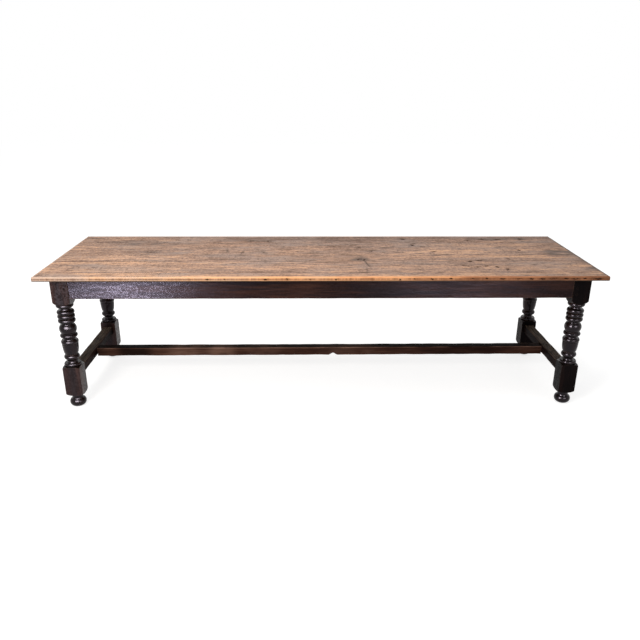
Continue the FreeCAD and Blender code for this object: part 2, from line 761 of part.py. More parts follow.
button = make_button()
for depth_name, back in depths.items():
    place_copies(f"{depth_name}_buttons", button,
                 [(x, long_rail_inner_y * back, leg_length, 0 if back < 0 else 180) for x in long_button_places])
for side_name, right in sides.items():
    place_copies(f"{side_name}_buttons", button,
                 [(end_rail_inner_x * right, y, leg_length, 90 * right) for y in end_button_places])

bearer_screw = make_screw("bearer_screw", s.bearer_height + s.screw_bite)
button_screw = make_screw("button_screw", s.button_height + s.screw_bite)
place_copies("bearer_screws", bearer_screw,
             [(x, y, leg_length - s.bearer_height, 0) for x in bearer_places for place, y in bearer_screw_places])
place_copies("button_screws", button_screw,
             [(x, y, leg_length - s.button_height, 0) for place, x, y in button_spots])

outer_x = leg_x + half_leg
outer_y = leg_y + half_leg
for depth_name, back in depths.items():
    make_pegs(f"{depth_name}_rail_pegs", s.rail_peg_length,
              [((leg_x - half_leg + s.peg_inset) * right, outer_y * back, rail_bottom + level, along_x, 90 * back)
               for right in (-1, 1) for level in peg_levels])
for side_name, right in sides.items():
    make_pegs(f"{side_name}_end_rail_pegs", s.rail_peg_length,
              [(outer_x * right, (leg_y - half_leg + s.peg_inset) * back, rail_bottom + level, along_y, -90 * right)
               for back in (-1, 1) for level in peg_levels])
    make_pegs(f"{side_name}_stretcher_pegs", s.stretcher_peg_length,
              [(outer_x * right, (leg_y - half_leg + s.peg_inset) * back, stretcher_bottom + stretcher_peg_level,
                along_y, -90 * right) for back in (-1, 1)])
make_pegs("centre_stretcher_pegs", s.centre_peg_length,
          [((side_stretcher_inner_x + s.peg_inset) * right, 0, stretcher_bottom + s.side_stretcher_height, along_x, 180)
           for right in (-1, 1)])

doc.recompute()

for item in doc.Objects:
    if "Invalid" in item.State or "Error" in item.State:
        raise RuntimeError(f"{item.Name} did not recompute")
    if item.TypeId in ("PartDesign::Pocket", "PartDesign::Groove"):
        if item.Shape.Volume > item.BaseFeature.Shape.Volume - 1e-3:
            raise RuntimeError(f"{item.Name} cuts nothing")
for node in nodes:
    if node.Shape.isNull() or not node.Shape.isValid():
        raise RuntimeError(f"{node.Label} has no valid shape")

os.makedirs("parts", exist_ok=True)
for node in nodes:
    node.Shape.exportStep(f"parts/{node.Label}.step")
    box = node.Shape.BoundBox
    print(f"{node.Label}: {len(node.Shape.Solids)} solids, {box.XLength:.1f} x {box.YLength:.1f} x {box.ZLength:.1f}")
print(f"{len(nodes)} nodes, table {s.top_length.number:.0f} x {top_width.number:.0f} x "
      f"{(leg_length + s.top_thickness).number:.0f}")
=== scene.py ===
import bpy
import bmesh
import json
import math
from mathutils import Matrix, Vector, noise

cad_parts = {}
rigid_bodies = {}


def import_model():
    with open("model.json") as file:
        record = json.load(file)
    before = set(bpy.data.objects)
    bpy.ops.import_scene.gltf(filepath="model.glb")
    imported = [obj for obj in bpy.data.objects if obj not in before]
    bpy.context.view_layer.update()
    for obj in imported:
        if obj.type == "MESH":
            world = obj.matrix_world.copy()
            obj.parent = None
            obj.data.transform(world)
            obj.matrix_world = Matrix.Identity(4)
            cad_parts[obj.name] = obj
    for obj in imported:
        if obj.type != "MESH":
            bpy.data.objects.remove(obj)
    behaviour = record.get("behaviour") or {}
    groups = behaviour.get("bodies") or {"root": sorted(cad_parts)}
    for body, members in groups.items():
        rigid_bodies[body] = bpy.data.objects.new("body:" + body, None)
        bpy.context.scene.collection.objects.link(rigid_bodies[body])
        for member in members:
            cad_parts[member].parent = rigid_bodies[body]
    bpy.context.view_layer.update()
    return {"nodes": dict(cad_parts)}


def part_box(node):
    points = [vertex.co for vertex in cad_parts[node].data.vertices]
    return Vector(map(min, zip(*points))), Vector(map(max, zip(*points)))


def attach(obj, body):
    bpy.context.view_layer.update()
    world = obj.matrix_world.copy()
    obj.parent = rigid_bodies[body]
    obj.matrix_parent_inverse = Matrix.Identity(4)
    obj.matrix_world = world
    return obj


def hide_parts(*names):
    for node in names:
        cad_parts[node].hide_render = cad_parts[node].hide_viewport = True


bpy.ops.object.select_all(action="SELECT")
bpy.ops.object.delete()
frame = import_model()
nodes = frame["nodes"]
print("frame loaded:", len(nodes), "nodes")


# small helpers for modelling by hand in edit mode

def choose(piece):
    bpy.ops.object.select_all(action="DESELECT")
    piece.select_set(True)
    bpy.context.view_layer.objects.active = piece


def startEdit(piece):
    choose(piece)
    bpy.ops.object.mode_set(mode="EDIT")


def endEdit():
    bpy.ops.object.mode_set(mode="OBJECT")


def pick(piece, kind, test):
    bpy.ops.mesh.select_mode(type={"edges": "EDGE", "faces": "FACE"}[kind])
    bpy.ops.mesh.select_all(action="DESELECT")
    mesh = bmesh.from_edit_mesh(piece.data)
    count = 0
    for item in getattr(mesh, kind):
        if test(item):
            item.select_set(True)
            count += 1
    mesh.select_flush_mode()
    bmesh.update_edit_mesh(piece.data)
    return count


def middle(edge):
    return (edge.verts[0].co + edge.verts[1].co) / 2


def runsAlong(edge, axis, least=0.0):
    step = edge.verts[1].co - edge.verts[0].co
    return step.length > least and abs(step[axis]) > 0.99 * step.length


def liesAt(edge, axis, place):
    return all(abs(vertex.co[axis] - place) < 1e-5 for vertex in edge.verts)


def ease(value, low, high):
    t = min(max((value - low) / (high - low), 0.0), 1.0)
    return t * t * (3 - 2 * t)


def smoothEdges(piece, degrees):
    choose(piece)
    bpy.ops.object.shade_smooth_by_angle(angle=math.radians(degrees))


def mark(piece, label, values):
    layer = piece.data.attributes.new(label, "FLOAT", "POINT")
    layer.data.foreach_set("value", values)


# node helpers for the finishes

def newFinish(name):
    finish = bpy.data.materials.new(name)
    finish.use_nodes = True
    finish.node_tree.nodes.clear()
    return finish


def grow(tree, kind, settings=None, feeds=None):
    made = tree.nodes.new("ShaderNode" + kind)
    for key, value in (settings or {}).items():
        setattr(made, key, value)
    for key, value in (feeds or {}).items():
        if isinstance(value, bpy.types.NodeSocket):
            tree.links.new(value, made.inputs[key])
        else:
            made.inputs[key].default_value = value
    return made


def split(tree, vector):
    return grow(tree, "SeparateXYZ", feeds={"Vector": vector}).outputs


def stretched(tree, coords, scale, move=(0, 0, 0)):
    return grow(tree, "Mapping", feeds={"Vector": coords, "Location": move, "Scale": scale}).outputs[0]


def alongGrain(axis, across, along):
    scale = [across] * 3
    scale[axis] = along
    return scale


def speckle(tree, vector, scale, detail=4.0, rough=0.55, twist=0.0):
    return grow(tree, "TexNoise", feeds={"Vector": vector, "Scale": scale, "Detail": detail,
                                         "Roughness": rough, "Distortion": twist}).outputs[0]


def between(tree, value, low, high, bottom=0.0, top=1.0):
    return grow(tree, "MapRange", {"interpolation_type": "SMOOTHSTEP"},
                {"Value": value, "From Min": low, "From Max": high,
                 "To Min": bottom, "To Max": top}).outputs[0]


def sums(tree, action, first, second=0.0):
    return grow(tree, "Math", {"operation": action}, {0: first, 1: second}).outputs[0]


# adds to a level the weighted distance of a value from its rest
def nudge(tree, level, value, weight, rest=0.0):
    away = sums(tree, "SUBTRACT", value, rest) if rest else value
    return sums(tree, "ADD", level, sums(tree, "MULTIPLY", away, weight))


def blended(tree, factor, under, over):
    return grow(tree, "Mix", {"data_type": "RGBA"}, {0: factor, 6: under, 7: over}).outputs[2]


def ramp(tree, value, stops):
    made = grow(tree, "ValToRGB", feeds={"Fac": value})
    while len(made.color_ramp.elements) < len(stops):
        made.color_ramp.elements.new(0.5)
    for element, (place, colour) in zip(made.color_ramp.elements, stops):
        element.position = place
        element.color = (*colour, 1)
    return made.outputs[0]


def tint(colour):
    return (*colour, 1)


def surface(tree, relief, strength, height, feeds):
    bump = grow(tree, "Bump", feeds={"Strength": strength, "Distance": height, "Height": relief}).outputs[0]
    shader = grow(tree, "BsdfPrincipled", feeds={**feeds, "Normal": bump}).outputs[0]
    grow(tree, "OutputMaterial", feeds={"Surface": shader})


# worn boards of the top

boardLook = {
    "stops": [(0.00, (0.085, 0.043, 0.026)), (0.33, (0.200, 0.119, 0.082)),
              (0.62, (0.335, 0.207, 0.145)), (1.00, (0.560, 0.325, 0.195))],
    "grey": (0.275, 0.202, 0.168),
    "pore": (0.062, 0.034, 0.021),
    "scar": (0.026, 0.012, 0.008),
    "edgeScar": (0.085, 0.025, 0.009),
    "smudge": (0.110, 0.080, 0.066),
    "edgeStops": [(0.00, (0.530, 0.380, 0.295)), (0.20, (0.640, 0.390, 0.240)),
                  (0.42, (0.820, 0.405, 0.190)), (0.60, (0.700, 0.330, 0.150)),
                  (0.78, (0.430, 0.175, 0.078)), (1.00, (0.215, 0.086, 0.040))],
    "edgeGrime": (0.120, 0.046, 0.022),
    "edgeFade": 0.345,
    "edgeStreak": 0.9,
    "edgeLineWander": 0.014,
    "edgeCover": 0.92,
    "under": (0.240, 0.165, 0.110),
    "underDeep": (0.115, 0.078, 0.052),
    "endPale": (0.330, 0.185, 0.105),
    "endDeep": (0.150, 0.075, 0.042),
    "wander": (1.2, 4, 4),
    "wanderWidth": 0.09,
    "rings": (0.45, 1, 0.6),
    "cloud": 1.2,
    "dash": 0.85,
    "saw": 0.50,
    "years": 0.8,
    "endPores": 520.0,
    "jointWander": 0.008,
    "crumb": 260.0,
    "scarFibre": 0.5,
    "scarCrumb": 0.9,
    "glossFrom": (0.3, 0.8),
    "glossPore": 0.3,
    "glossScar": 0.3,
    "roughness": (0.44, 0.66),
    "specular": 0.07,
    "relief": {"fibre": 0.6, "streak": 0.5, "pore": -0.5, "saw": -0.4},
    "bump": 0.35,
    "bumpHeight": 0.0012,
}

# noise, follows the wandering grain, stretch along x, y and z, detail, roughness, twist
boardNoise = [
    ("broad", True, (1.3, 13, 8), 5.0, 0.62, 0.0),
    ("streak", True, (6.5, 62, 20), 5.0, 0.68, 0.0),
    ("fibre", True, (9, 420, 120), 3.0, 0.60, 0.0),
    ("pores", True, (22, 640, 200), 2.0, 0.50, 0.0),
    ("dash", True, (16, 80, 30), 4.0, 0.70, 0.0),
    ("patches", False, (2.6, 7.0, 1), 6.0, 0.66, 0.0),
    ("sawn", False, (70, 20, 1), 4.0, 0.70, 0.8),
    ("sawZone", False, (2.4, 7, 1), 3.0, 0.55, 0.0),
    ("fleck", False, (75, 42, 1), 4.0, 0.70, 0.0),
]

# noise, sharpened first, pull on the tone, value that leaves the tone alone
boardTone = [
    ("broad", True, 0.36, 0.14),
    ("streak", True, 0.44, 0.10),
    ("fibre", False, 0.55, 0.50),
    ("rings", False, 0.16, 0.00),
    ("fleck", False, 1.30, 0.50),
    ("stain", False, -0.25, 0.00),
]

# mask: value from and to, strength from and to
boardMask = {
    "sharp": (0.34, 0.66, 0.0, 1.0),
    "outward": (0.0, 1.1, -0.01, 0.05),
    "greyed": (0.44, 0.66, 0.0, 0.72),
    "spared": (-0.8, 0.0, 0.4, 1.0),
    "smudge": (0.25, 1.0, 0.0, 0.85),
    "pores": (0.60, 0.70, 0.0, 0.55),
    "dash": (0.55, 0.64, 0.0, 1.0),
    "dashZone": (0.30, 0.52, 0.0, 1.0),
    "sawn": (0.53, 0.64, 0.0, 1.0),
    "sawZone": (0.52, 0.64, 0.0, 1.0),
    "endPores": (0.52, 0.66, 0.0, 0.6),
    "endFace": (0.55, 0.9, 0.0, 0.85),
    "edgeLine": (0.0058, 0.0, 0.0, 0.75),
    "edgeFootPaintedShade": (0.7425, 0.7385, 0.0, 0.9),
    "joint": (0.0036, 0.0010, 0.0, 0.50),
    "scar": (0.14, 0.88, 0.0, 1.0),
    "scarHere": (0.02, 0.25, 0.0, 1.0),
    "scarCore": (0.35, 0.85, 0.0, 1.0),
    "raw": (0.35, 0.7, 0.0, 1.0),
    "underside": (0.7385, 0.7360, 0.0, 1.0),
}


def masked(tree, value, label):
    return between(tree, value, *boardMask[label])


def boardNoises(tree, seed):
    look = boardLook
    coords = grow(tree, "TexCoord").outputs["Object"]
    move = (seed * 3.7, seed * 1.3, seed * 0.7)
    # the grain wanders a little along each board
    wander = speckle(tree, stretched(tree, coords, look["wander"], move), 1.0, 2.0)
    sideways = grow(tree, "CombineXYZ", feeds={"Y": wander}).outputs[0]
    lane = grow(tree, "VectorMath", {"operation": "MULTIPLY_ADD"},
                {0: sideways, 1: (0, look["wanderWidth"], 0), 2: coords}).outputs[0]
    made = {"coords": coords, "spot": split(tree, coords)}
    for label, follows, stretch, detail, rough, twist in boardNoise:
        space = stretched(tree, lane if follows else coords, stretch, move)
        made[label] = speckle(tree, space, 1.0, detail, rough, twist)
    made["rings"] = grow(tree, "TexWave", {"wave_type": "BANDS", "bands_direction": "Y"},
                         {"Vector": stretched(tree, lane, look["rings"], move), "Scale": 13.0,
                          "Distortion": 9.0, "Detail": 4.0, "Detail Scale": 2.2}).outputs["Fac"]
    # wear written on the points of the board
    for label in ("stain", "rub", "scar"):
        made[label] = grow(tree, "Attribute", {"attribute_name": label}).outputs["Fac"]
    return made


def boardFace(tree, noises, warmth):
    look = boardLook
    level = warmth
    for label, sharpened, pull, rest in boardTone:
        value = masked(tree, noises[label], "sharp") if sharpened else noises[label]
        level = nudge(tree, level, value, pull, rest)
    outward = sums(tree, "ABSOLUTE", noises["spot"]["X"])
    wood = ramp(tree, sums(tree, "ADD", level, masked(tree, outward, "outward")), look["stops"])
    greyed = sums(tree, "MULTIPLY", masked(tree, noises["patches"], "greyed"),
                  masked(tree, noises["stain"], "spared"))
    wood = blended(tree, greyed, wood, tint(look["grey"]))
    cloudy = nudge(tree, noises["stain"], noises["fleck"], look["cloud"], 0.5)
    wood = blended(tree, masked(tree, cloudy, "smudge"), wood, tint(look["smudge"]))
    poreMask = masked(tree, noises["pores"], "pores")
    dashMask = sums(tree, "MULTIPLY", masked(tree, noises["dash"], "dash"),
                    masked(tree, noises["patches"], "dashZone"))
    sawMask = sums(tree, "MULTIPLY", masked(tree, noises["sawn"], "sawn"),
                   masked(tree, noises["sawZone"], "sawZone"))
    for mask, strength in ((poreMask, 1.0), (dashMask, look["dash"]), (sawMask, look["saw"])):
        wood = blended(tree, sums(tree, "MULTIPLY", mask, strength), wood, tint(look["pore"]))
    return wood, poreMask, sawMask


def endGrain(tree, noises, wood, near, far):
    # bowed year rings and open pores
    look = boardLook
    heart = stretched(tree, noises["coords"], (0, 1, 1), (0, -(near + far) / 2, -0.70))
    years = grow(tree, "TexWave", {"wave_type": "RINGS", "rings_direction": "X"},
                 {"Vector": heart, "Scale": 42.0, "Distortion": 2.5, "Detail": 3.0,
                  "Detail Scale": 3.0}).outputs["Fac"]
    pores = masked(tree, speckle(tree, noises["coords"], look["endPores"], 2.0), "endPores")
    years = sums(tree, "MULTIPLY", years, look["years"])
    ends = blended(tree, years, tint(look["endPale"]), tint(look["endDeep"]))
    ends = blended(tree, pores, ends, tint(look["pore"]))
    facing = split(tree, grow(tree, "NewGeometry").outputs["Normal"])["X"]
    return blended(tree, masked(tree, sums(tree, "ABSOLUTE", facing), "endFace"), wood, ends)


def rubbedEdgeWithPaintedLight(tree, noises):
    # pale at the left and darker towards the right, partly grime and partly a painted fall-off of light
    # from the left; a dark line along the middle
    look = boardLook
    spot = noises["spot"]
    fromLeft = sums(tree, "ADD", spot["X"], topSize["length"] / 2)
    grimyAndShaded = sums(tree, "MULTIPLY", fromLeft, look["edgeFade"])
    grimyAndShaded = nudge(tree, grimyAndShaded, noises["streak"], look["edgeStreak"], 0.5)
    edge = ramp(tree, grimyAndShaded, look["edgeStops"])
    mid = (topSize["low"] + topSize["high"]) / 2
    height = sums(tree, "ABSOLUTE", sums(tree, "SUBTRACT", spot["Z"], mid))
    line = masked(tree, nudge(tree, height, noises["fleck"], look["edgeLineWander"], 0.5), "edgeLine")
    edge = blended(tree, line, edge, tint(look["edgeGrime"]))
    # the lower round of the rubbed edges is painted near-black: a painted shadow line under the top
    return blended(tree, masked(tree, spot["Z"], "edgeFootPaintedShade"), edge, tint(look["scar"]))


def jointGrime(tree, noises, wood, near, far):
    # grime packed in the joints between boards, none at the outer edges
    look = boardLook
    for joint in (near, far):
        if abs(joint) < topSize["width"] / 2 - 0.01:
            away = sums(tree, "ABSOLUTE", sums(tree, "SUBTRACT", noises["spot"]["Y"], joint))
            away = nudge(tree, away, noises["streak"], look["jointWander"], 0.5)
            wood = blended(tree, masked(tree, away, "joint"), wood, tint(look["scar"]))
    return wood


def scarred(tree, noises, wood):
    look = boardLook
    crumb = speckle(tree, noises["coords"], look["crumb"], 3.0, 0.65)
    ragged = nudge(tree, noises["scar"], noises["fibre"], look["scarFibre"], 0.5)
    ragged = nudge(tree, ragged, crumb, look["scarCrumb"], 0.5)
    mask = sums(tree, "MULTIPLY", masked(tree, ragged, "scar"), masked(tree, noises["scar"], "scarHere"))
    rim = blended(tree, noises["rub"], tint(look["pore"]), tint(look["edgeScar"]))
    tone = blended(tree, masked(tree, ragged, "scarCore"), rim, tint(look["scar"]))
    return blended(tree, mask, wood, tone), mask


def boardFinish(name, near, far, seed, warmth):
    look = boardLook
    finish = newFinish(name)
    tree = finish.node_tree
    noises = boardNoises(tree, seed)
    wood, poreMask, sawMask = boardFace(tree, noises, warmth)
    wood = endGrain(tree, noises, wood, near, far)
    rubbed = sums(tree, "MULTIPLY", noises["rub"], look["edgeCover"])
    wood = blended(tree, rubbed, wood, rubbedEdgeWithPaintedLight(tree, noises))
    wood = jointGrime(tree, noises, wood, near, far)
    wood, scarMask = scarred(tree, noises, wood)
    # raw wood on the underside
    raw = blended(tree, masked(tree, noises["broad"], "raw"), tint(look["underDeep"]), tint(look["under"]))
    wood = blended(tree, masked(tree, noises["spot"]["Z"], "underside"), wood, raw)
    gloss = nudge(tree, noises["broad"], poreMask, look["glossPore"])
    gloss = between(tree, gloss, *look["glossFrom"], *look["roughness"])
    gloss = nudge(tree, gloss, scarMask, look["glossScar"])
    heights = look["relief"]
    relief = sums(tree, "MULTIPLY", noises["fibre"], heights["fibre"])
    relief = nudge(tree, relief, noises["streak"], heights["streak"])
    relief = nudge(tree, relief, poreMask, heights["pore"])
    relief = nudge(tree, relief, sawMask, heights["saw"])
    surface(tree, relief, look["bump"], look["bumpHeight"],
            {"Base Color": wood, "Roughness": gloss, "Specular IOR Level": look["specular"]})
    return finish


topSize = {
    "length": 2.900,
    "width": 0.900,
    "low": 0.735,
    "high": 0.760,
    "roundTop": 0.007,
    "roundTopSteps": 5,
    "roundLow": 0.005,
    "roundLowSteps": 4,
    "corner": 0.003,
    "cornerSteps": 3,
    "seamBevel": 0.001,
    "seamBevelSteps": 2,
    "seamFrom": 0.751,
    "coarseCuts": 28,
    "coarseLeast": 1.0,
    "fineCuts": 9,
    "fineLeast": 0.05,
    "cell": 0.010,
    "cellLeast": 0.04,
    "scarMargins": (0.0180, 0.0084),
    "edgeCutsAlong": 2,
    "edgeCutsUp": 4,
    "tongueLow": 0.7435,
    "tongueHigh": 0.7515,
    "tongueDeep": 0.012,
    "tongueEnd": 1.360,
    "smooth": 40,
}

# name, node, near seam, far seam, seed, warmth
boards = [
    ("plankFront", "front_plank", -0.450, -0.372, 1, 0.17),
    ("plankSecond", "second_plank", -0.372, -0.150, 2, 0.16),
    ("plankThird", "third_plank", -0.150, -0.025, 3, 0.12),
    ("plankFourth", "fourth_plank", -0.025, 0.266, 4, 0.06),
    ("plankBack", "back_plank", 0.266, 0.450, 5, -0.02),
]

# hollows left by knots, shakes and knocks: x, y, half length, half width, depth, turn in degrees
topScars = [
    (0.806, -0.155, 0.022, 0.014, 0.0030, 14),
    (0.862, -0.136, 0.030, 0.008, 0.0024, 9),
    (1.032, -0.110, 0.012, 0.018, 0.0028, 30),
    (0.967, -0.311, 0.012, 0.020, 0.0030, -25),
    (0.925, -0.268, 0.016, 0.015, 0.0028, 14),
    (0.757, -0.246, 0.036, 0.009, 0.0026, -24),
    (0.812, -0.268, 0.040, 0.008, 0.0026, 4),
    (0.874, -0.250, 0.034, 0.008, 0.0026, 16),
    (1.090, -0.345, 0.030, 0.012, 0.0010, 15),
    (0.205, -0.107, 0.028, 0.010, 0.0024, 20),
    (0.230, -0.120, 0.012, 0.014, 0.0022, -30),
    (0.238, -0.200, 0.004, 0.075, 0.0016, 8),
    (0.228, -0.330, 0.003, 0.070, 0.0012, -4),
    (0.285, 0.070, 0.015, 0.012, 0.0022, 30),
    (0.352, 0.047, 0.024, 0.009, 0.0018, -10),
    (1.151, 0.091, 0.016, 0.016, 0.0024, 10),
    (1.244, 0.369, 0.022, 0.017, 0.0028, 0),
    (1.006, 0.369, 0.046, 0.013, 0.0026, 0),
    (1.100, 0.360, 0.034, 0.013, 0.0026, 4),
    (0.545, 0.214, 0.020, 0.018, 0.0026, 20),
    (0.600, 0.180, 0.032, 0.008, 0.0018, -15),
    (0.507, 0.370, 0.026, 0.016, 0.0024, -10),
    (0.192, 0.215, 0.034, 0.009, 0.0020, 6),
    (0.222, 0.150, 0.015, 0.013, 0.0020, 40),
    (0.150, 0.240, 0.022, 0.010, 0.0016, -20),
    (0.060, 0.192, 0.065, 0.007, 0.0020, 1),
    (0.640, 0.052, 0.026, 0.010, 0.0020, 10),
    (0.905, 0.330, 0.020, 0.012, 0.0018, 25),
    (-0.330, 0.318, 0.050, 0.010, 0.0018, 0),
    (-0.420, 0.322, 0.022, 0.013, 0.0018, 20),
    (-1.260, 0.029, 0.040, 0.008, 0.0018, 4),
    (-0.975, 0.051, 0.050, 0.008, 0.0018, -4),
    (-0.540, 0.080, 0.006, 0.030, 0.0012, 12),
    (-0.450, 0.040, 0.005, 0.034, 0.0012, -8),
    (-0.330, 0.050, 0.008, 0.026, 0.0012, 10),
    (1.327, -0.388, 0.040, 0.006, 0.0014, -6),
]

# darker and lighter patches: x, y, half length, half width, strength (below zero is lighter)
topStains = [
    (1.32, 0.02, 0.08, 0.10, 0.80),
    (1.40, 0.07, 0.06, 0.07, 0.50),
    (1.12, 0.37, 0.24, 0.05, 0.50),
    (0.55, 0.34, 0.16, 0.07, 0.25),
    (0.14, 0.32, 0.14, 0.08, 0.30),
    (-0.34, 0.36, 0.45, 0.09, 0.35),
    (-1.11, 0.30, 0.32, 0.09, 0.40),
    (-0.90, 0.22, 0.42, 0.06, 0.50),
    (1.39, -0.32, 0.09, 0.06, 0.50),
    (0.21, -0.11, 0.06, 0.09, 0.30),
    (0.56, 0.21, 0.08, 0.08, 0.35),
    (-1.28, -0.02, 0.12, 0.05, 0.45),
    (-0.97, 0.05, 0.08, 0.06, 0.40),
    (-0.46, 0.05, 0.26, 0.14, 0.25),
    (0.04, -0.12, 0.48, 0.16, 0.40),
    (1.39, -0.20, 0.13, 0.12, 0.30),
    (1.38, 0.22, 0.10, 0.16, 0.45),
    (1.44, -0.05, 0.05, 0.22, 0.45),
    (0.78, 0.14, 0.52, 0.15, -0.90),
    (0.60, 0.03, 0.50, 0.10, -0.75),
    (0.95, -0.05, 0.40, 0.09, -0.45),
    (-1.05, -0.06, 0.40, 0.11, -0.85),
    (-1.05, -0.34, 0.40, 0.15, -0.50),
]

# knocks in the front edge: place along it, half length, depth
frontNicks = [
    (-1.128, 0.007, 0.0011), (-1.050, 0.006, 0.0010), (-0.868, 0.008, 0.0010), (-0.581, 0.013, 0.0028),
    (-0.497, 0.008, 0.0022), (-0.293, 0.022, 0.0022), (-0.184, 0.009, 0.0024), (-0.069, 0.014, 0.0016),
    (0.061, 0.010, 0.0022), (0.382, 0.012, 0.0022), (0.457, 0.010, 0.0020), (0.543, 0.018, 0.0026),
    (0.639, 0.014, 0.0024), (0.750, 0.020, 0.0022), (0.821, 0.012, 0.0024), (0.902, 0.024, 0.0026),
    (1.049, 0.022, 0.0028), (1.105, 0.028, 0.0024), (1.222, 0.026, 0.0028), (1.320, 0.016, 0.0026),
    (0.985, 0.040, 0.0014), (1.160, 0.055, 0.0017), (1.275, 0.050, 0.0018), (1.385, 0.050, 0.0022),
]

plankWear = {
    "scarReach": 0.16,
    "scarHalo": (2.8, 0.6),
    "scarFull": 0.0024,
    "scarCore": 1.9,
    "haloStain": 0.45,
    "wave": 0.0007,
    "plane": 0.0003,
    "cup": 0.0004,
    "underside": 0.0003,
    "endZone": 0.020,
    "endDepth": 0.0008,
    "endRub": (0.010, 0.003, 0.8),
    "endGrime": (0.020, 0.006, 1.3),
    "arrisGrime": (0.012, 0.003, 1.1),
    "arrisGrimeFrom": (0.80, 1.20),
    "edgeZone": 0.012,
    "edgeRub": (0.010, 0.004),
    "edgeWave": 0.0006,
    "edgeRipple": 0.0004,
    "nickHeight": (0.0070, 0.0010),
    "nickWander": 0.004,
    "nickFull": 0.0017,
    "seamZone": 0.004,
    "seamDepth": 0.0003,
}


def scarDepth(x, y):
    wear = plankWear
    deepest, darkest, halo = 0.0, 0.0, 0.0
    for cx, cy, along, across, depth, turn in topScars:
        dx, dy = x - cx, y - cy
        if max(abs(dx), abs(dy)) > wear["scarReach"]:
            continue
        c, s = math.cos(math.radians(turn)), math.sin(math.radians(turn))
        u, v = (dx * c + dy * s) / along, (dy * c - dx * s) / across
        u += 0.5 * noise.noise((x * 90, y * 70, 8.0))
        v += 0.9 * noise.noise((x * 80, y * 80, 3.0))
        away = math.sqrt(u * u + v * v)
        halo = max(halo, ease(away, *wear["scarHalo"]))
        shade = ease(away, 1.0, 0.0)
        deepest = max(deepest, depth * shade)
        darkest = max(darkest, min(depth / wear["scarFull"], 1.0) * min(shade * wear["scarCore"], 1.0))
    return deepest, darkest, halo


def stainAt(x, y):
    total = 0.0
    for cx, cy, along, across, strength in topStains:
        away = math.hypot((x - cx) / along, (y - cy) / across)
        away += 0.5 * noise.noise((x * 14, y * 22, cx))
        total += strength * ease(away, 1.1, 0.2)
    return total


def nearScar(face, margin):
    spot = face.calc_center_median()
    return any(max(abs(spot.x - cx), abs(spot.y - cy)) < max(along, across) + margin
               for cx, cy, along, across, depth, turn in topScars)


def blankPlank(name, near, far):
    size = topSize
    bpy.ops.object.select_all(action="DESELECT")
    bpy.ops.mesh.primitive_cube_add(
        size=1, location=(0, (near + far) / 2, (size["low"] + size["high"]) / 2),
        scale=(size["length"], far - near, size["high"] - size["low"]))
    plank = bpy.context.object
    plank.name = name
    bpy.ops.object.transform_apply(location=True, rotation=True, scale=True)
    return plank


def roundPlank(plank, outer, seams):
    # rounded outer edges and a fine bevel along each joint
    size = topSize
    half = size["length"] / 2
    atOuter = lambda p: outer is not None and abs(p.y - outer) < 0.004
    atRim = lambda p: abs(abs(p.x) - half) < 0.004 or atOuter(p)
    if outer is not None:
        pick(plank, "edges", lambda e: runsAlong(e, 2) and atOuter(middle(e)))
        bpy.ops.mesh.bevel(offset=size["corner"], segments=size["cornerSteps"], affect="EDGES")
    for level, offset, steps in ((size["high"], size["roundTop"], size["roundTopSteps"]),
                                 (size["low"], size["roundLow"], size["roundLowSteps"])):
        pick(plank, "edges", lambda e: liesAt(e, 2, level) and atRim(middle(e)))
        bpy.ops.mesh.bevel(offset=offset, segments=steps, affect="EDGES")
    for seam in seams:
        pick(plank, "edges", lambda e: liesAt(e, 1, seam) and middle(e).z > size["seamFrom"])
        bpy.ops.mesh.bevel(offset=size["seamBevel"], segments=size["seamBevelSteps"], affect="EDGES")


def gridPlank(plank, near, far, first):
    # a grid fine enough to wear down, finer at the scars and along the front edge
    size = topSize
    pick(plank, "edges", lambda e: runsAlong(e, 0, size["coarseLeast"]))
    bpy.ops.mesh.subdivide(number_cuts=size["coarseCuts"])
    pick(plank, "edges", lambda e: runsAlong(e, 0, size["fineLeast"]))
    bpy.ops.mesh.subdivide(number_cuts=size["fineCuts"])
    pick(plank, "edges", lambda e: runsAlong(e, 1, size["cellLeast"]))
    bpy.ops.mesh.subdivide(number_cuts=max(int((far - near) / size["cell"]) - 1, 3))
    for margin in size["scarMargins"]:
        if pick(plank, "faces", lambda f: f.normal.z > 0.9 and nearScar(f, margin)):
            bpy.ops.mesh.subdivide(number_cuts=1)
    if first:
        pick(plank, "edges", lambda e: runsAlong(e, 0) and middle(e).y < near + 0.008)
        bpy.ops.mesh.subdivide(number_cuts=size["edgeCutsAlong"])
        pick(plank, "edges", lambda e: runsAlong(e, 2, 0.008) and middle(e).y < near + 0.002)
        bpy.ops.mesh.subdivide(number_cuts=size["edgeCutsUp"])


def groovePlank(plank, near, seams):
    # stopped grooves for the loose tongues
    size = topSize
    for seam in seams:
        inward = 1 if seam == near else -1
        onSeam = lambda f: f.normal.y * -inward > 0.8 and abs(f.calc_center_median().y - seam) < 0.002
        for level in (size["tongueLow"], size["tongueHigh"]):
            pick(plank, "faces", onSeam)
            bpy.ops.mesh.bisect(plane_co=(0, 0, level), plane_no=(0, 0, 1))
        pick(plank, "faces", lambda f: onSeam(f)
             and size["tongueLow"] < f.calc_center_median().z < size["tongueHigh"]
             and abs(f.calc_center_median().x) < size["tongueEnd"])
        deeper = (0, size["tongueDeep"] * inward, 0)
        bpy.ops.mesh.extrude_region_move(TRANSFORM_OT_translate={"value": deeper})


def makePlank(name, node, near, far, seed, warmth):
    first, last = node == "front_plank", node == "back_plank"
    outer = near if first else far if last else None
    seams = [seam for seam in (near, far) if seam != outer]
    plank = blankPlank(name, near, far)
    startEdit(plank)
    roundPlank(plank, outer, seams)
    gridPlank(plank, near, far, first)
    endEdit()
    wearPlank(plank, near, far, first, last, seed)
    startEdit(plank)
    groovePlank(plank, near, seams)
    endEdit()
    smoothEdges(plank, topSize["smooth"])
    plank.data.materials.append(boardFinish(name + "Wood", near, far, seed, warmth))
    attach(plank, "root")
    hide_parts(node)
    return plank


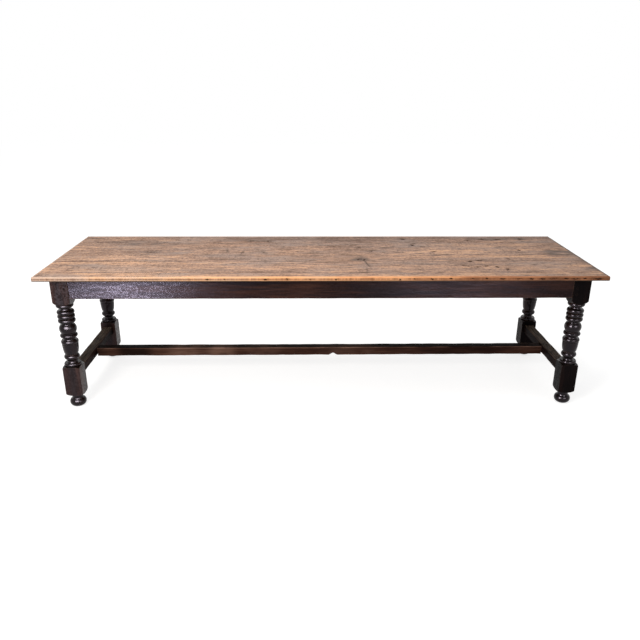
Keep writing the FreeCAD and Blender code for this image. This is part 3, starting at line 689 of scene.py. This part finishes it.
def faceDip(x, y, near, far, seed):
    wear = plankWear
    wave = 0.5 + 0.5 * noise.noise((x * 2.2, y * 9, seed))
    plane = 0.5 + 0.5 * noise.noise((x * 9, y * 34, seed + 7.3))
    cup = ((y - near) / (far - near) * 2 - 1) ** 2
    cup *= 0.5 + 0.5 * noise.noise((x * 1.3, seed, 2.0))
    return wear["wave"] * wave + wear["plane"] * plane + wear["cup"] * cup


def nickAt(x, z, mid, out):
    # how far the front edge is knocked in, and how dark the knock is
    wear = plankWear
    deep, dark = 0.0, 0.0
    for place, reach, depth in frontNicks:
        if abs(x - place) < reach:
            hit = ease(1 - abs(x - place) / reach, 0, 1)
            lift = z - mid + wear["nickWander"] * noise.noise((place * 9, 5.0, x * 70))
            hit *= ease(abs(lift), *wear["nickHeight"])
            hit *= 0.75 + 0.8 * noise.noise((x * 190, z * 260, place))
            deep += depth * hit
            dark = max(dark, min(max(hit * out, 0.0) * depth / wear["nickFull"], 1.0))
    return deep, dark


def grimeAt(x, y, near, first, seed):
    # the right end is grimy, and so is the front arris beside it
    wear = plankWear
    half = topSize["length"] / 2
    start, full, strength = wear["endGrime"]
    grime = strength * ease(x, half - start, half - full)
    if first:
        patchy = 0.65 + 0.6 * noise.noise((x * 24, 4.0, seed))
        start, full, strength = wear["arrisGrime"]
        arris = strength * patchy * ease(x, *wear["arrisGrimeFrom"]) * ease(y - near, start, full)
        grime = max(grime, arris)
    return grime


def seamGape(x, away, seam, key):
    gape = plankWear["seamDepth"] * (1 + noise.noise((x * 6, seam, key)))
    return gape * ease(away, plankWear["seamZone"], 0.0)


def wearPlank(plank, near, far, first, last, seed):
    size, wear = topSize, plankWear
    half, mid = size["length"] / 2, (size["low"] + size["high"]) / 2
    rubFrom, rubTo, rubStrength = wear["endRub"]
    scars, rubs, stains = [], [], []
    for vertex in plank.data.vertices:
        x, y, z = vertex.co
        upper = max((z - mid) / (size["high"] - mid), 0.0)
        lower = max((mid - z) / (mid - size["low"]), 0.0)
        hollow, dark, halo = scarDepth(x, y) if upper > 0.9 else (0.0, 0.0, 0.0)
        vertex.co.z -= (faceDip(x, y, near, far, seed) + hollow) * upper
        vertex.co.z += lower * wear["underside"] * (1 + noise.noise((x * 14, y * 5, seed + 3.1)))
        # ends sawn a touch uneven, the left one rubbed pale, long edges gone wavy with use
        endward = ease(abs(x), half - wear["endZone"], half)
        vertex.co.x -= math.copysign(endward * wear["endDepth"] * (1 + noise.noise((y * 30, seed, x))), x)
        rub = rubStrength * ease(-x, half - rubFrom, half - rubTo)
        if first or last:
            outer = near if first else far
            out = ease(abs(y - outer), wear["edgeZone"], 0.0)
            inward = wear["edgeWave"] * (1 + noise.noise((x * 3, seed, 0.5)))
            inward += wear["edgeRipple"] * (1 + noise.noise((x * 25, z * 90, seed)))
            if first:
                deep, nickDark = nickAt(x, z, mid, out)
                inward += deep
                dark = max(dark, nickDark)
            vertex.co.y += inward * out * (1 if first else -1)
            rub = max(rub, ease(abs(y - outer), *wear["edgeRub"]))
        if not first:
            vertex.co.y += seamGape(x, y - near, near, 1.0)
        if not last:
            vertex.co.y -= seamGape(x, far - y, far, 2.0)
        scars.append(dark)
        grime = wear["haloStain"] * halo + grimeAt(x, y, near, first, seed)
        stains.append(stainAt(x, y) + grime if upper > 0.5 else 0.0)
        rubs.append(rub)
    for label, values in (("scar", scars), ("rub", rubs), ("stain", stains)):
        mark(plank, label, values)


for board in boards:
    made = makePlank(*board)
    print("board", made.name, len(made.data.polygons), "faces")


# rails and stretchers, worked over from the solids: knocked arrises, uneven faces

# node, piece, long axis, face wear, arris wear, rubbed arris (on the centre stretcher strong enough to
# stand as a painted highlight along the upper arris)
bars = [
    ("front_rail", "railFront", 0, 0.0006, 0.0020, 0.3),
    ("back_rail", "railBack", 0, 0.0006, 0.0016, 0.3),
    ("left_end_rail", "railLeft", 1, 0.0006, 0.0016, 0.3),
    ("right_end_rail", "railRight", 1, 0.0006, 0.0016, 0.3),
    ("left_stretcher", "stretcherLeft", 1, 0.0008, 0.0022, 0.15),
    ("right_stretcher", "stretcherRight", 1, 0.0008, 0.0022, 0.15),
    # its pale upper arris is worn wood and also a painted highlight
    ("centre_stretcher", "stretcherCentre", 0, 0.0008, 0.0022, 1.2),
]

barShape = {
    "step": 0.020,
    "across": 0.019,
    "arris": 0.007,
    "skin": 0.88,
    "arrisZone": (0.72, 0.93),
    "lowerRub": 0.45,
    "smooth": 35,
    "notchPlace": 0.069,
    "notchReach": 0.027,
    "notchDepth": 0.013,
    "notchSteps": 6,
    "notchAcross": 0.012,
}

# along the centre stretcher: place, half length, rubbed pale (above zero) or grimy (below)
stretcherPatches = [(-1.10, 0.16, -0.8), (-0.80, 0.14, 0.30), (-0.60, 0.12, 0.34), (-0.34, 0.14, 0.14),
                    (0.16, 0.22, 0.16), (0.50, 0.20, -0.25), (0.86, 0.34, -0.55)]

# copies of the rails, stretchers and legs, by node; the rails and stretchers are worn
worked = {}


def looseCopy(node, name):
    piece = bpy.data.objects.new(name, nodes[node].data.copy())
    bpy.context.scene.collection.objects.link(piece)
    choose(piece)
    bpy.ops.mesh.customdata_custom_splitnormals_clear()
    startEdit(piece)
    bpy.ops.mesh.select_all(action="SELECT")
    bpy.ops.mesh.remove_doubles(threshold=0.00001)
    return piece


def settle(piece, node, degrees):
    smoothEdges(piece, degrees)
    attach(piece, "root")
    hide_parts(node)
    worked[node] = piece


def sliceUp(axis, places):
    square = [0.0, 0.0, 0.0]
    square[axis] = 1.0
    for place in places:
        bpy.ops.mesh.select_all(action="SELECT")
        bpy.ops.mesh.bisect(plane_co=[place * part for part in square], plane_no=square)


def evenly(low, high, step):
    count = max(int(round((high - low) / step)), 1)
    return [low + (high - low) * (index + 0.5) / count for index in range(count)]


def sliceBar(node, axis, low, high):
    shape = barShape
    bpy.ops.mesh.dissolve_limited(angle_limit=math.radians(0.2))
    sliceUp(axis, evenly(low[axis], high[axis], shape["step"]))
    if node == "centre_stretcher":
        place, reach, steps = shape["notchPlace"], shape["notchReach"], shape["notchSteps"]
        sliceUp(0, [place + reach * step / steps for step in range(-steps, steps + 1)])
    for cross in (1 - axis, 2):
        sliceUp(cross, evenly(low[cross], high[cross], shape["across"]))
        sliceUp(cross, [low[cross] + shape["arris"], high[cross] - shape["arris"]])
    bpy.ops.mesh.select_all(action="SELECT")
    bpy.ops.mesh.quads_convert_to_tris()


def patchRub(spot):
    blotch = 0.7 + noise.noise((spot.x * 16, spot.y * 30, spot.z * 40))
    total = 0.0
    for place, reach, strength in stretcherPatches:
        patch = strength * ease(abs(spot.x - place) / reach, 1.0, 0.3)
        total += patch * (blotch if strength > 0 else 1.0)
    return total


def notchLift(spot, mid):
    # a notch knocked out of the lower front edge
    shape = barShape
    if spot.z >= mid.z:
        return 0.0
    reach = abs(spot.x - shape["notchPlace"]) / shape["notchReach"]
    across = ease(spot.y, shape["notchAcross"], -shape["notchAcross"])
    return shape["notchDepth"] * ease(reach, 1.0, 0.0) * across


def workBar(node, name, axis, faceWear, arrisWear, rubbed):
    shape = barShape
    low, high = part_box(node)
    side, rise = 1 - axis, 2
    piece = looseCopy(node, name)
    sliceBar(node, axis, low, high)
    endEdit()
    mid, half = (low + high) / 2, (high - low) / 2
    key = (mid[side] * 7, mid[rise] * 3)
    normals = [vertex.normal.copy() for vertex in piece.data.vertices]
    rubs = []
    for vertex, normal in zip(piece.data.vertices, normals):
        spot = vertex.co.copy()
        u, v = abs(spot[side] - mid[side]) / half[side], abs(spot[rise] - mid[rise]) / half[rise]
        rubs.append(0.0)
        # points well inside the section stay as they are
        if max(u, v) < shape["skin"]:
            continue
        along = spot[axis]
        arris = ease(min(u, v), *shape["arrisZone"])
        face = 0.5 + 0.5 * noise.noise((along * 5 + key[0], spot[side] * 30, spot[rise] * 22 + key[1]))
        knock = max(noise.noise((along * 11 + key[0], spot[side] * 13, spot[rise] * 13)) + 0.15, 0)
        chip = max(noise.noise((along * 42 + key[0], spot[side] * 20, spot[rise] * 20)) - 0.25, 0)
        vertex.co -= normal * (faceWear * face + arrisWear * arris * (knock + chip))
        corner = max(half[side] * (1 - u), half[rise] * (1 - v))
        patchy = 0.6 + 0.8 * noise.noise((along * 9, key[0], 4.0))
        upper = 1.0 if spot[rise] > mid[rise] else shape["lowerRub"]
        rubs[-1] = rubbed * ease(corner, shape["arris"], 0.0) * upper * patchy
        if node == "centre_stretcher":
            rubs[-1] += patchRub(spot)
            vertex.co.z += notchLift(spot, mid)
    mark(piece, "rub", rubs)
    settle(piece, node, shape["smooth"])


# legs, with the flats of their square blocks set apart from the turning
legs = [
    ("front_left_leg", "legFrontLeft"),
    ("front_right_leg", "legFrontRight"),
    ("back_left_leg", "legBackLeft"),
    ("back_right_leg", "legBackRight"),
]

legShape = {"blocks": [(0.070, 0.241), (0.585, 0.736)], "upright": 0.05, "smooth": 35}


def workLeg(node, name):
    piece = looseCopy(node, name)
    endEdit()
    for face in piece.data.polygons:
        inBlock = any(low < face.center.z < high for low, high in legShape["blocks"])
        face.material_index = int(inBlock and abs(face.normal.z) < legShape["upright"])
    piece.data.materials.append(None)
    settle(piece, node, legShape["smooth"])


for bar in bars:
    workBar(*bar)
for leg in legs:
    workLeg(*leg)
print("underframe worn:", sum(len(piece.data.polygons) for piece in worked.values()), "faces")


# dark waxed underframe

darkLook = {
    "stops": [(0.30, (0.004, 0.003, 0.003)), (0.50, (0.014, 0.007, 0.006)),
              (0.68, (0.045, 0.019, 0.013)), (0.90, (0.105, 0.053, 0.036))],
    "worn": (0.330, 0.195, 0.145),
    # near-black: grime rubbed into the centre stretcher, and painted shade on top faces and under the
    # boards' overhang
    "grime": (0.0035, 0.0028, 0.0025),
    "dust": (0.135, 0.100, 0.076),
    "sheen": (0.96, 0.86, 1.00),
    "broadPull": 0.8,
    "finePull": 0.5,
    "cover": 0.85,
    "edgeRadius": 0.006,
    "wornCover": 0.8,
    "glossAdze": 0.4,
    "glossPebble": 0.6,
    "glossFrom": (0.43, 0.58),
    "glossOverhang": 0.4,
    "fineTooling": 0.4,
    "pebbleTooling": 0.5,
    "bump": 0.75,
    "bumpHeight": 0.0010,
}

# noise across and along the grain
darkNoise = {"broad": (16.0, 1.6), "fine": (420.0, 9.0), "adze": (70.0, 7.0), "pebble": 95.0, "patch": 14.0}

# mask: value from and to, strength from and to
darkMask = {
    "edge": (0.97, 0.86, 0.0, 1.0),
    "patch": (0.40, 0.62, 0.0, 1.0),
    # where shade is painted: up-facing faces, and a band just under the boards' overhang
    "topFacePaintedShade": (0.6, 0.95, 0.0, 1.0),
    "overhangPaintedShade": (0.716, 0.732, 0.0, 1.0),
    "shadeAndDust": (0.40, 0.60, 0.0, 1.0),
    "rubbedIn": (0.0, -1.0, 0.0, 0.9),
}

# name, grain axis, lift of tone, specular, roughness from and to, tool marks, edge wear, colour for the
# painted shade on top faces and under the overhang (near-black grime, mixed with dust on the side
# stretchers), nodes
darkPieces = [
    ("legWax", 2, 0.00, 0.17, (0.15, 0.24), 0.07, 0.2, "grime",
     [node for node, name in legs]),
    ("longRailWax", 0, 0.16, 0.05, (0.25, 0.42), 1.1, 0.4, "grime",
     ["front_rail", "back_rail"]),
    ("endRailWax", 1, 0.12, 0.05, (0.13, 0.38), 2.0, 0.4, "grime",
     ["left_end_rail", "right_end_rail"]),
    ("sideStretcherWax", 1, 0.02, 0.008, (0.36, 0.54), 1.0, 0.3, "dust",
     ["left_stretcher", "right_stretcher"]),
    ("centreStretcherWax", 0, 0.28, 0.006, (0.34, 0.52), 1.0, 0.5, "grime",
     ["centre_stretcher"]),
    ("pegWax", 2, -0.14, 0.02, (0.30, 0.44), 0.1, 0.0, "grime",
     [name for name in nodes if name.endswith("_pegs")]),
]

# flats of the blocks, as above; the blocks of the left legs are painted lighter, as if lit, and those of
# the right legs darker, as painted shade
blockPieces = [
    ("leftBlockWax", 2, 0.14, 0.14, (0.22, 0.46), 1.6, 0.15, "grime",
     ["front_left_leg", "back_left_leg"]),
    ("rightBlockWax", 2, -0.07, 0.02, (0.26, 0.46), 1.6, 0.08, "grime",
     ["front_right_leg", "back_right_leg"]),
]


def edgeWear(tree, coords, normal, wear):
    # bare edges in patches, found where a softened normal leaves the true one
    soft = grow(tree, "Bevel", {"samples": 4}, {"Radius": darkLook["edgeRadius"]}).outputs[0]
    turned = grow(tree, "VectorMath", {"operation": "DOT_PRODUCT"}, {0: soft, 1: normal}).outputs["Value"]
    edge = between(tree, turned, *darkMask["edge"])
    patch = between(tree, speckle(tree, coords, darkNoise["patch"], 3.0), *darkMask["patch"])
    return sums(tree, "MULTIPLY", sums(tree, "MULTIPLY", edge, patch), wear)


def darkFinish(name, axis, lift, specular, shine, tooling, wear, shadeAndDust):
    look, mask = darkLook, darkMask
    finish = newFinish(name)
    tree = finish.node_tree
    coords = grow(tree, "TexCoord").outputs["Object"]
    normal = grow(tree, "NewGeometry").outputs["Normal"]
    rub = grow(tree, "Attribute", {"attribute_name": "rub"}).outputs["Fac"]
    broad, fine, adze = [stretched(tree, coords, alongGrain(axis, *darkNoise[label]))
                         for label in ("broad", "fine", "adze")]
    broad = speckle(tree, broad, 1.0, 5.0, 0.6, 0.4)
    fine = speckle(tree, fine, 1.0, 3.0, 0.6)
    adze = speckle(tree, adze, 1.0, 3.0, 0.6)
    pebble = speckle(tree, coords, darkNoise["pebble"], 3.0, 0.6)
    level = nudge(tree, lift, broad, look["broadPull"])
    wood = ramp(tree, nudge(tree, level, fine, look["finePull"], 0.5), look["stops"])
    # painted shade: top faces and a band just under the overhang of the boards are laid over with the
    # near-black grime colour, which is mixed with real dust on the side stretchers
    topFacePaintedShade = between(tree, split(tree, normal)["Z"], *mask["topFacePaintedShade"])
    overhangPaintedShade = between(tree, split(tree, coords)["Z"], *mask["overhangPaintedShade"])
    paintedShadeCover = sums(tree, "MULTIPLY", sums(tree, "MAXIMUM", topFacePaintedShade, overhangPaintedShade), look["cover"])
    layer = blended(tree, between(tree, fine, *mask["shadeAndDust"]), tint(look["grime"]), tint(look[shadeAndDust]))
    wood = blended(tree, paintedShadeCover, wood, layer)
    # pale worn edges; on the centre stretcher's upper arris this pale colour is also a painted highlight
    worn = sums(tree, "MAXIMUM", edgeWear(tree, coords, normal, wear), rub)
    wood = blended(tree, sums(tree, "MULTIPLY", worn, look["wornCover"]), wood, tint(look["worn"]))
    wood = blended(tree, between(tree, rub, *mask["rubbedIn"]), wood, tint(look["grime"]))
    gloss = sums(tree, "MULTIPLY", adze, look["glossAdze"])
    gloss = nudge(tree, gloss, pebble, look["glossPebble"])
    gloss = between(tree, gloss, *look["glossFrom"], *shine)
    gloss = nudge(tree, gloss, overhangPaintedShade, look["glossOverhang"])
    relief = sums(tree, "MULTIPLY", fine, min(tooling, look["fineTooling"]))
    relief = nudge(tree, relief, adze, tooling)
    relief = nudge(tree, relief, pebble, tooling * look["pebbleTooling"])
    surface(tree, relief, look["bump"], look["bumpHeight"],
            {"Base Color": wood, "Roughness": gloss, "Specular IOR Level": specular,
             "Specular Tint": tint(look["sheen"])})
    return finish


def paint(finish, names):
    for name in names:
        shown = worked.get(name, nodes[name])
        for index in range(len(shown.data.materials)):
            shown.data.materials[index] = finish


for row in darkPieces:
    paint(darkFinish(*row[:-1]), row[-1])
for row in blockPieces:
    finish = darkFinish(*row[:-1])
    for name in row[-1]:
        worked[name].data.materials[1] = finish
print("underframe and pegs waxed")


# bare wood out of sight, and screws

bareLook = {
    "grain": (30.0, 2.4),
    "tone": (0.32, 0.70),
    "dust": (0.22, 0.19, 0.16),
    "dustScale": 11.0,
    "dustCover": (0.5, 0.75, 0.0, 0.35),
    "roughness": (0.3, 0.7, 0.88, 0.70),
    "bump": 0.3,
    "bumpHeight": 0.001,
}

# name, grain axis, pale tone, deep tone, nodes
barePieces = [
    ("bearerWood", 1, (0.30, 0.20, 0.125), (0.16, 0.10, 0.062),
     ["left_bearer", "middle_bearer", "right_bearer"]),
    ("tongueWood", 0, (0.34, 0.23, 0.145), (0.20, 0.125, 0.078),
     ["plank_tongue_1", "plank_tongue_2", "plank_tongue_3", "plank_tongue_4"]),
    ("buttonWood", 1, (0.36, 0.24, 0.15), (0.20, 0.13, 0.08),
     ["front_buttons", "back_buttons"]),
    ("endButtonWood", 0, (0.36, 0.24, 0.15), (0.20, 0.13, 0.08),
     ["left_buttons", "right_buttons"]),
]

ironLook = {
    "bare": (0.16, 0.15, 0.145),
    "rust": (0.105, 0.045, 0.022),
    "rustScale": 420.0,
    "rustCover": (0.44, 0.62),
    "roughness": (0.42, 0.85),
    "metallic": (1.0, 0.1),
    "bump": 0.3,
    "bumpHeight": 0.0003,
}


def bareFinish(name, axis, pale, deep):
    look = bareLook
    finish = newFinish(name)
    tree = finish.node_tree
    coords = grow(tree, "TexCoord").outputs["Object"]
    grain = speckle(tree, stretched(tree, coords, alongGrain(axis, *look["grain"])), 1.0, 6.0, 0.65, 0.3)
    dust = between(tree, speckle(tree, coords, look["dustScale"], 4.0), *look["dustCover"])
    wood = blended(tree, between(tree, grain, *look["tone"]), tint(deep), tint(pale))
    wood = blended(tree, dust, wood, tint(look["dust"]))
    rough = between(tree, grain, *look["roughness"])
    surface(tree, grain, look["bump"], look["bumpHeight"], {"Base Color": wood, "Roughness": rough})
    return finish


def ironFinish(name):
    look = ironLook
    finish = newFinish(name)
    tree = finish.node_tree
    coords = grow(tree, "TexCoord").outputs["Object"]
    rust = between(tree, speckle(tree, coords, look["rustScale"], 5.0, 0.65), *look["rustCover"])
    metal = blended(tree, rust, tint(look["bare"]), tint(look["rust"]))
    rough = between(tree, rust, 0.0, 1.0, *look["roughness"])
    shine = between(tree, rust, 0.0, 1.0, *look["metallic"])
    surface(tree, rust, look["bump"], look["bumpHeight"],
            {"Base Color": metal, "Metallic": shine, "Roughness": rough})
    return finish


for row in barePieces:
    paint(bareFinish(*row[:-1]), row[-1])
paint(ironFinish("screwIron"), ["bearer_screws", "button_screws"])
print("hidden wood and screws finished")


# floor, backdrop light and lamps

stageLook = {
    "floor": 30.0,
    "floorDrop": 0.0005,
    "bounceShade": 0.86,
    "floorShade": 0.50,
    "glow": 0.75,
    "ambient": 0.50,
}


def whiteRays(tree):
    path = grow(tree, "LightPath").outputs
    seen = sums(tree, "MAXIMUM", path["Is Camera Ray"], path["Is Glossy Ray"])
    return sums(tree, "MAXIMUM", seen, path["Is Transmission Ray"])


def makeFloor():
    bpy.ops.object.select_all(action="DESELECT")
    bpy.ops.mesh.primitive_plane_add(size=stageLook["floor"], location=(0, 0, -stageLook["floorDrop"]))
    floor = bpy.context.object
    floor.name = "floor"
    finish = newFinish("paleFloor")
    tree = finish.node_tree
    matte = grow(tree, "BsdfDiffuse", feeds={"Color": tint([stageLook["bounceShade"]] * 3)}).outputs[0]
    pale = grow(tree, "BsdfDiffuse", feeds={"Color": tint([stageLook["floorShade"]] * 3)}).outputs[0]
    white = grow(tree, "Emission", feeds={"Color": (1, 1, 1, 1), "Strength": stageLook["glow"]}).outputs[0]
    seen = grow(tree, "AddShader", feeds={0: pale, 1: white}).outputs[0]
    mixed = grow(tree, "MixShader", feeds={0: whiteRays(tree), 1: matte, 2: seen}).outputs[0]
    # seen from below, the floor lets the table show
    behind = grow(tree, "NewGeometry").outputs["Backfacing"]
    clear = grow(tree, "BsdfTransparent").outputs[0]
    mixed = grow(tree, "MixShader", feeds={0: behind, 1: mixed, 2: clear}).outputs[0]
    grow(tree, "OutputMaterial", feeds={"Surface": mixed})
    floor.data.materials.append(finish)


def makeWorld():
    world = bpy.data.worlds.new("studio")
    bpy.context.scene.world = world
    world.use_nodes = True
    tree = world.node_tree
    tree.nodes.clear()
    level = between(tree, whiteRays(tree), 0.0, 1.0, stageLook["ambient"], 1.0)
    sky = grow(tree, "Background", feeds={"Color": (1, 1, 1, 1), "Strength": level}).outputs[0]
    grow(tree, "OutputWorld", feeds={"Surface": sky})


# name, place, aim, width, height, watts, colour, pieces it puts a sheen on (none: a plain lamp)
lamps = [
    ("keyLeft", (-1.70, -3.00, 2.20), (-0.8, 0.0, 0.6), 0.80, 0.80, 60.0, (1.0, 0.955, 0.91), []),
    ("overhead", (-0.7, -0.4, 3.3), (0.0, 0.1, 0.7), 3.2, 2.2, 84.0, (1.0, 0.985, 0.965), []),
    ("lowLeft", (-1.38, -1.60, 0.27), (-1.05, -0.38, 0.66), 0.72, 0.16, 88.0, (0.84, 0.86, 1.0),
     ["front_rail"]),
    ("lowRight", (0.95, -1.60, 0.27), (0.75, -0.38, 0.66), 1.10, 0.16, 14.0, (0.90, 0.90, 1.0),
     ["front_rail"]),
    ("glintLeft", (-1.45, -2.40, 1.50), (-1.2, -0.3, 0.45), 2.30, 1.70, 390.0, (1.0, 0.98, 0.96),
     ["front_left_leg", "front_right_leg"]),
    ("glintRight", (2.75, -4.75, 2.30), (0.8, 0.0, 0.5), 3.00, 1.70, 230.0, (1.0, 0.98, 0.96),
     ["front_left_leg", "front_right_leg"]),
]


def makeLamps():
    for name, place, aim, width, height, watts, colour, glintsOn in lamps:
        light = bpy.data.lights.new(name, "AREA")
        light.shape = "ELLIPSE" if glintsOn else "RECTANGLE"
        light.size, light.size_y = width, height
        light.energy = watts
        light.color = colour
        lamp = bpy.data.objects.new(name, light)
        bpy.context.scene.collection.objects.link(lamp)
        lamp.location = place
        lamp.rotation_euler = (Vector(aim) - Vector(place)).to_track_quat("-Z", "Y").to_euler()
        lamp.visible_camera = False
        if glintsOn:
            # a sheen on these pieces only, no light on the wood
            lamp.visible_diffuse = False
            receivers = bpy.data.collections.new(name + "Pieces")
            for node in glintsOn:
                receivers.objects.link(worked[node])
            lamp.light_linking.receiver_collection = receivers


photoShot = {
    "place": (-0.08792, -3.52595, 1.67428),
    "pitch": 0.36724,
    "yaw": 0.02715,
    "roll": 0.00604,
    "lens": 36.08,
    "sensor": 36,
    "shiftX": -0.0042,
    "shiftY": 0.0114,
}


def makeCamera():
    shot = photoShot
    ahead = Vector((math.sin(shot["yaw"]) * math.cos(shot["pitch"]),
                    math.cos(shot["yaw"]) * math.cos(shot["pitch"]), -math.sin(shot["pitch"])))
    side = Vector((math.cos(shot["yaw"]), -math.sin(shot["yaw"]), 0))
    up = side.cross(ahead)
    turn = Matrix.Rotation(-shot["roll"], 3, ahead)
    side, up = turn @ side, turn @ up
    camera = bpy.data.objects.new("photoView", bpy.data.cameras.new("photoView"))
    bpy.context.scene.collection.objects.link(camera)
    camera.matrix_world = Matrix((side, up, -ahead)).transposed().to_4x4()
    camera.location = shot["place"]
    camera.data.sensor_width = shot["sensor"]
    camera.data.lens = shot["lens"]
    camera.data.shift_x, camera.data.shift_y = shot["shiftX"], shot["shiftY"]
    bpy.context.scene.camera = camera


makeFloor()
makeWorld()
makeLamps()
makeCamera()
bpy.context.scene.view_settings.view_transform = "Standard"
print("stage set")
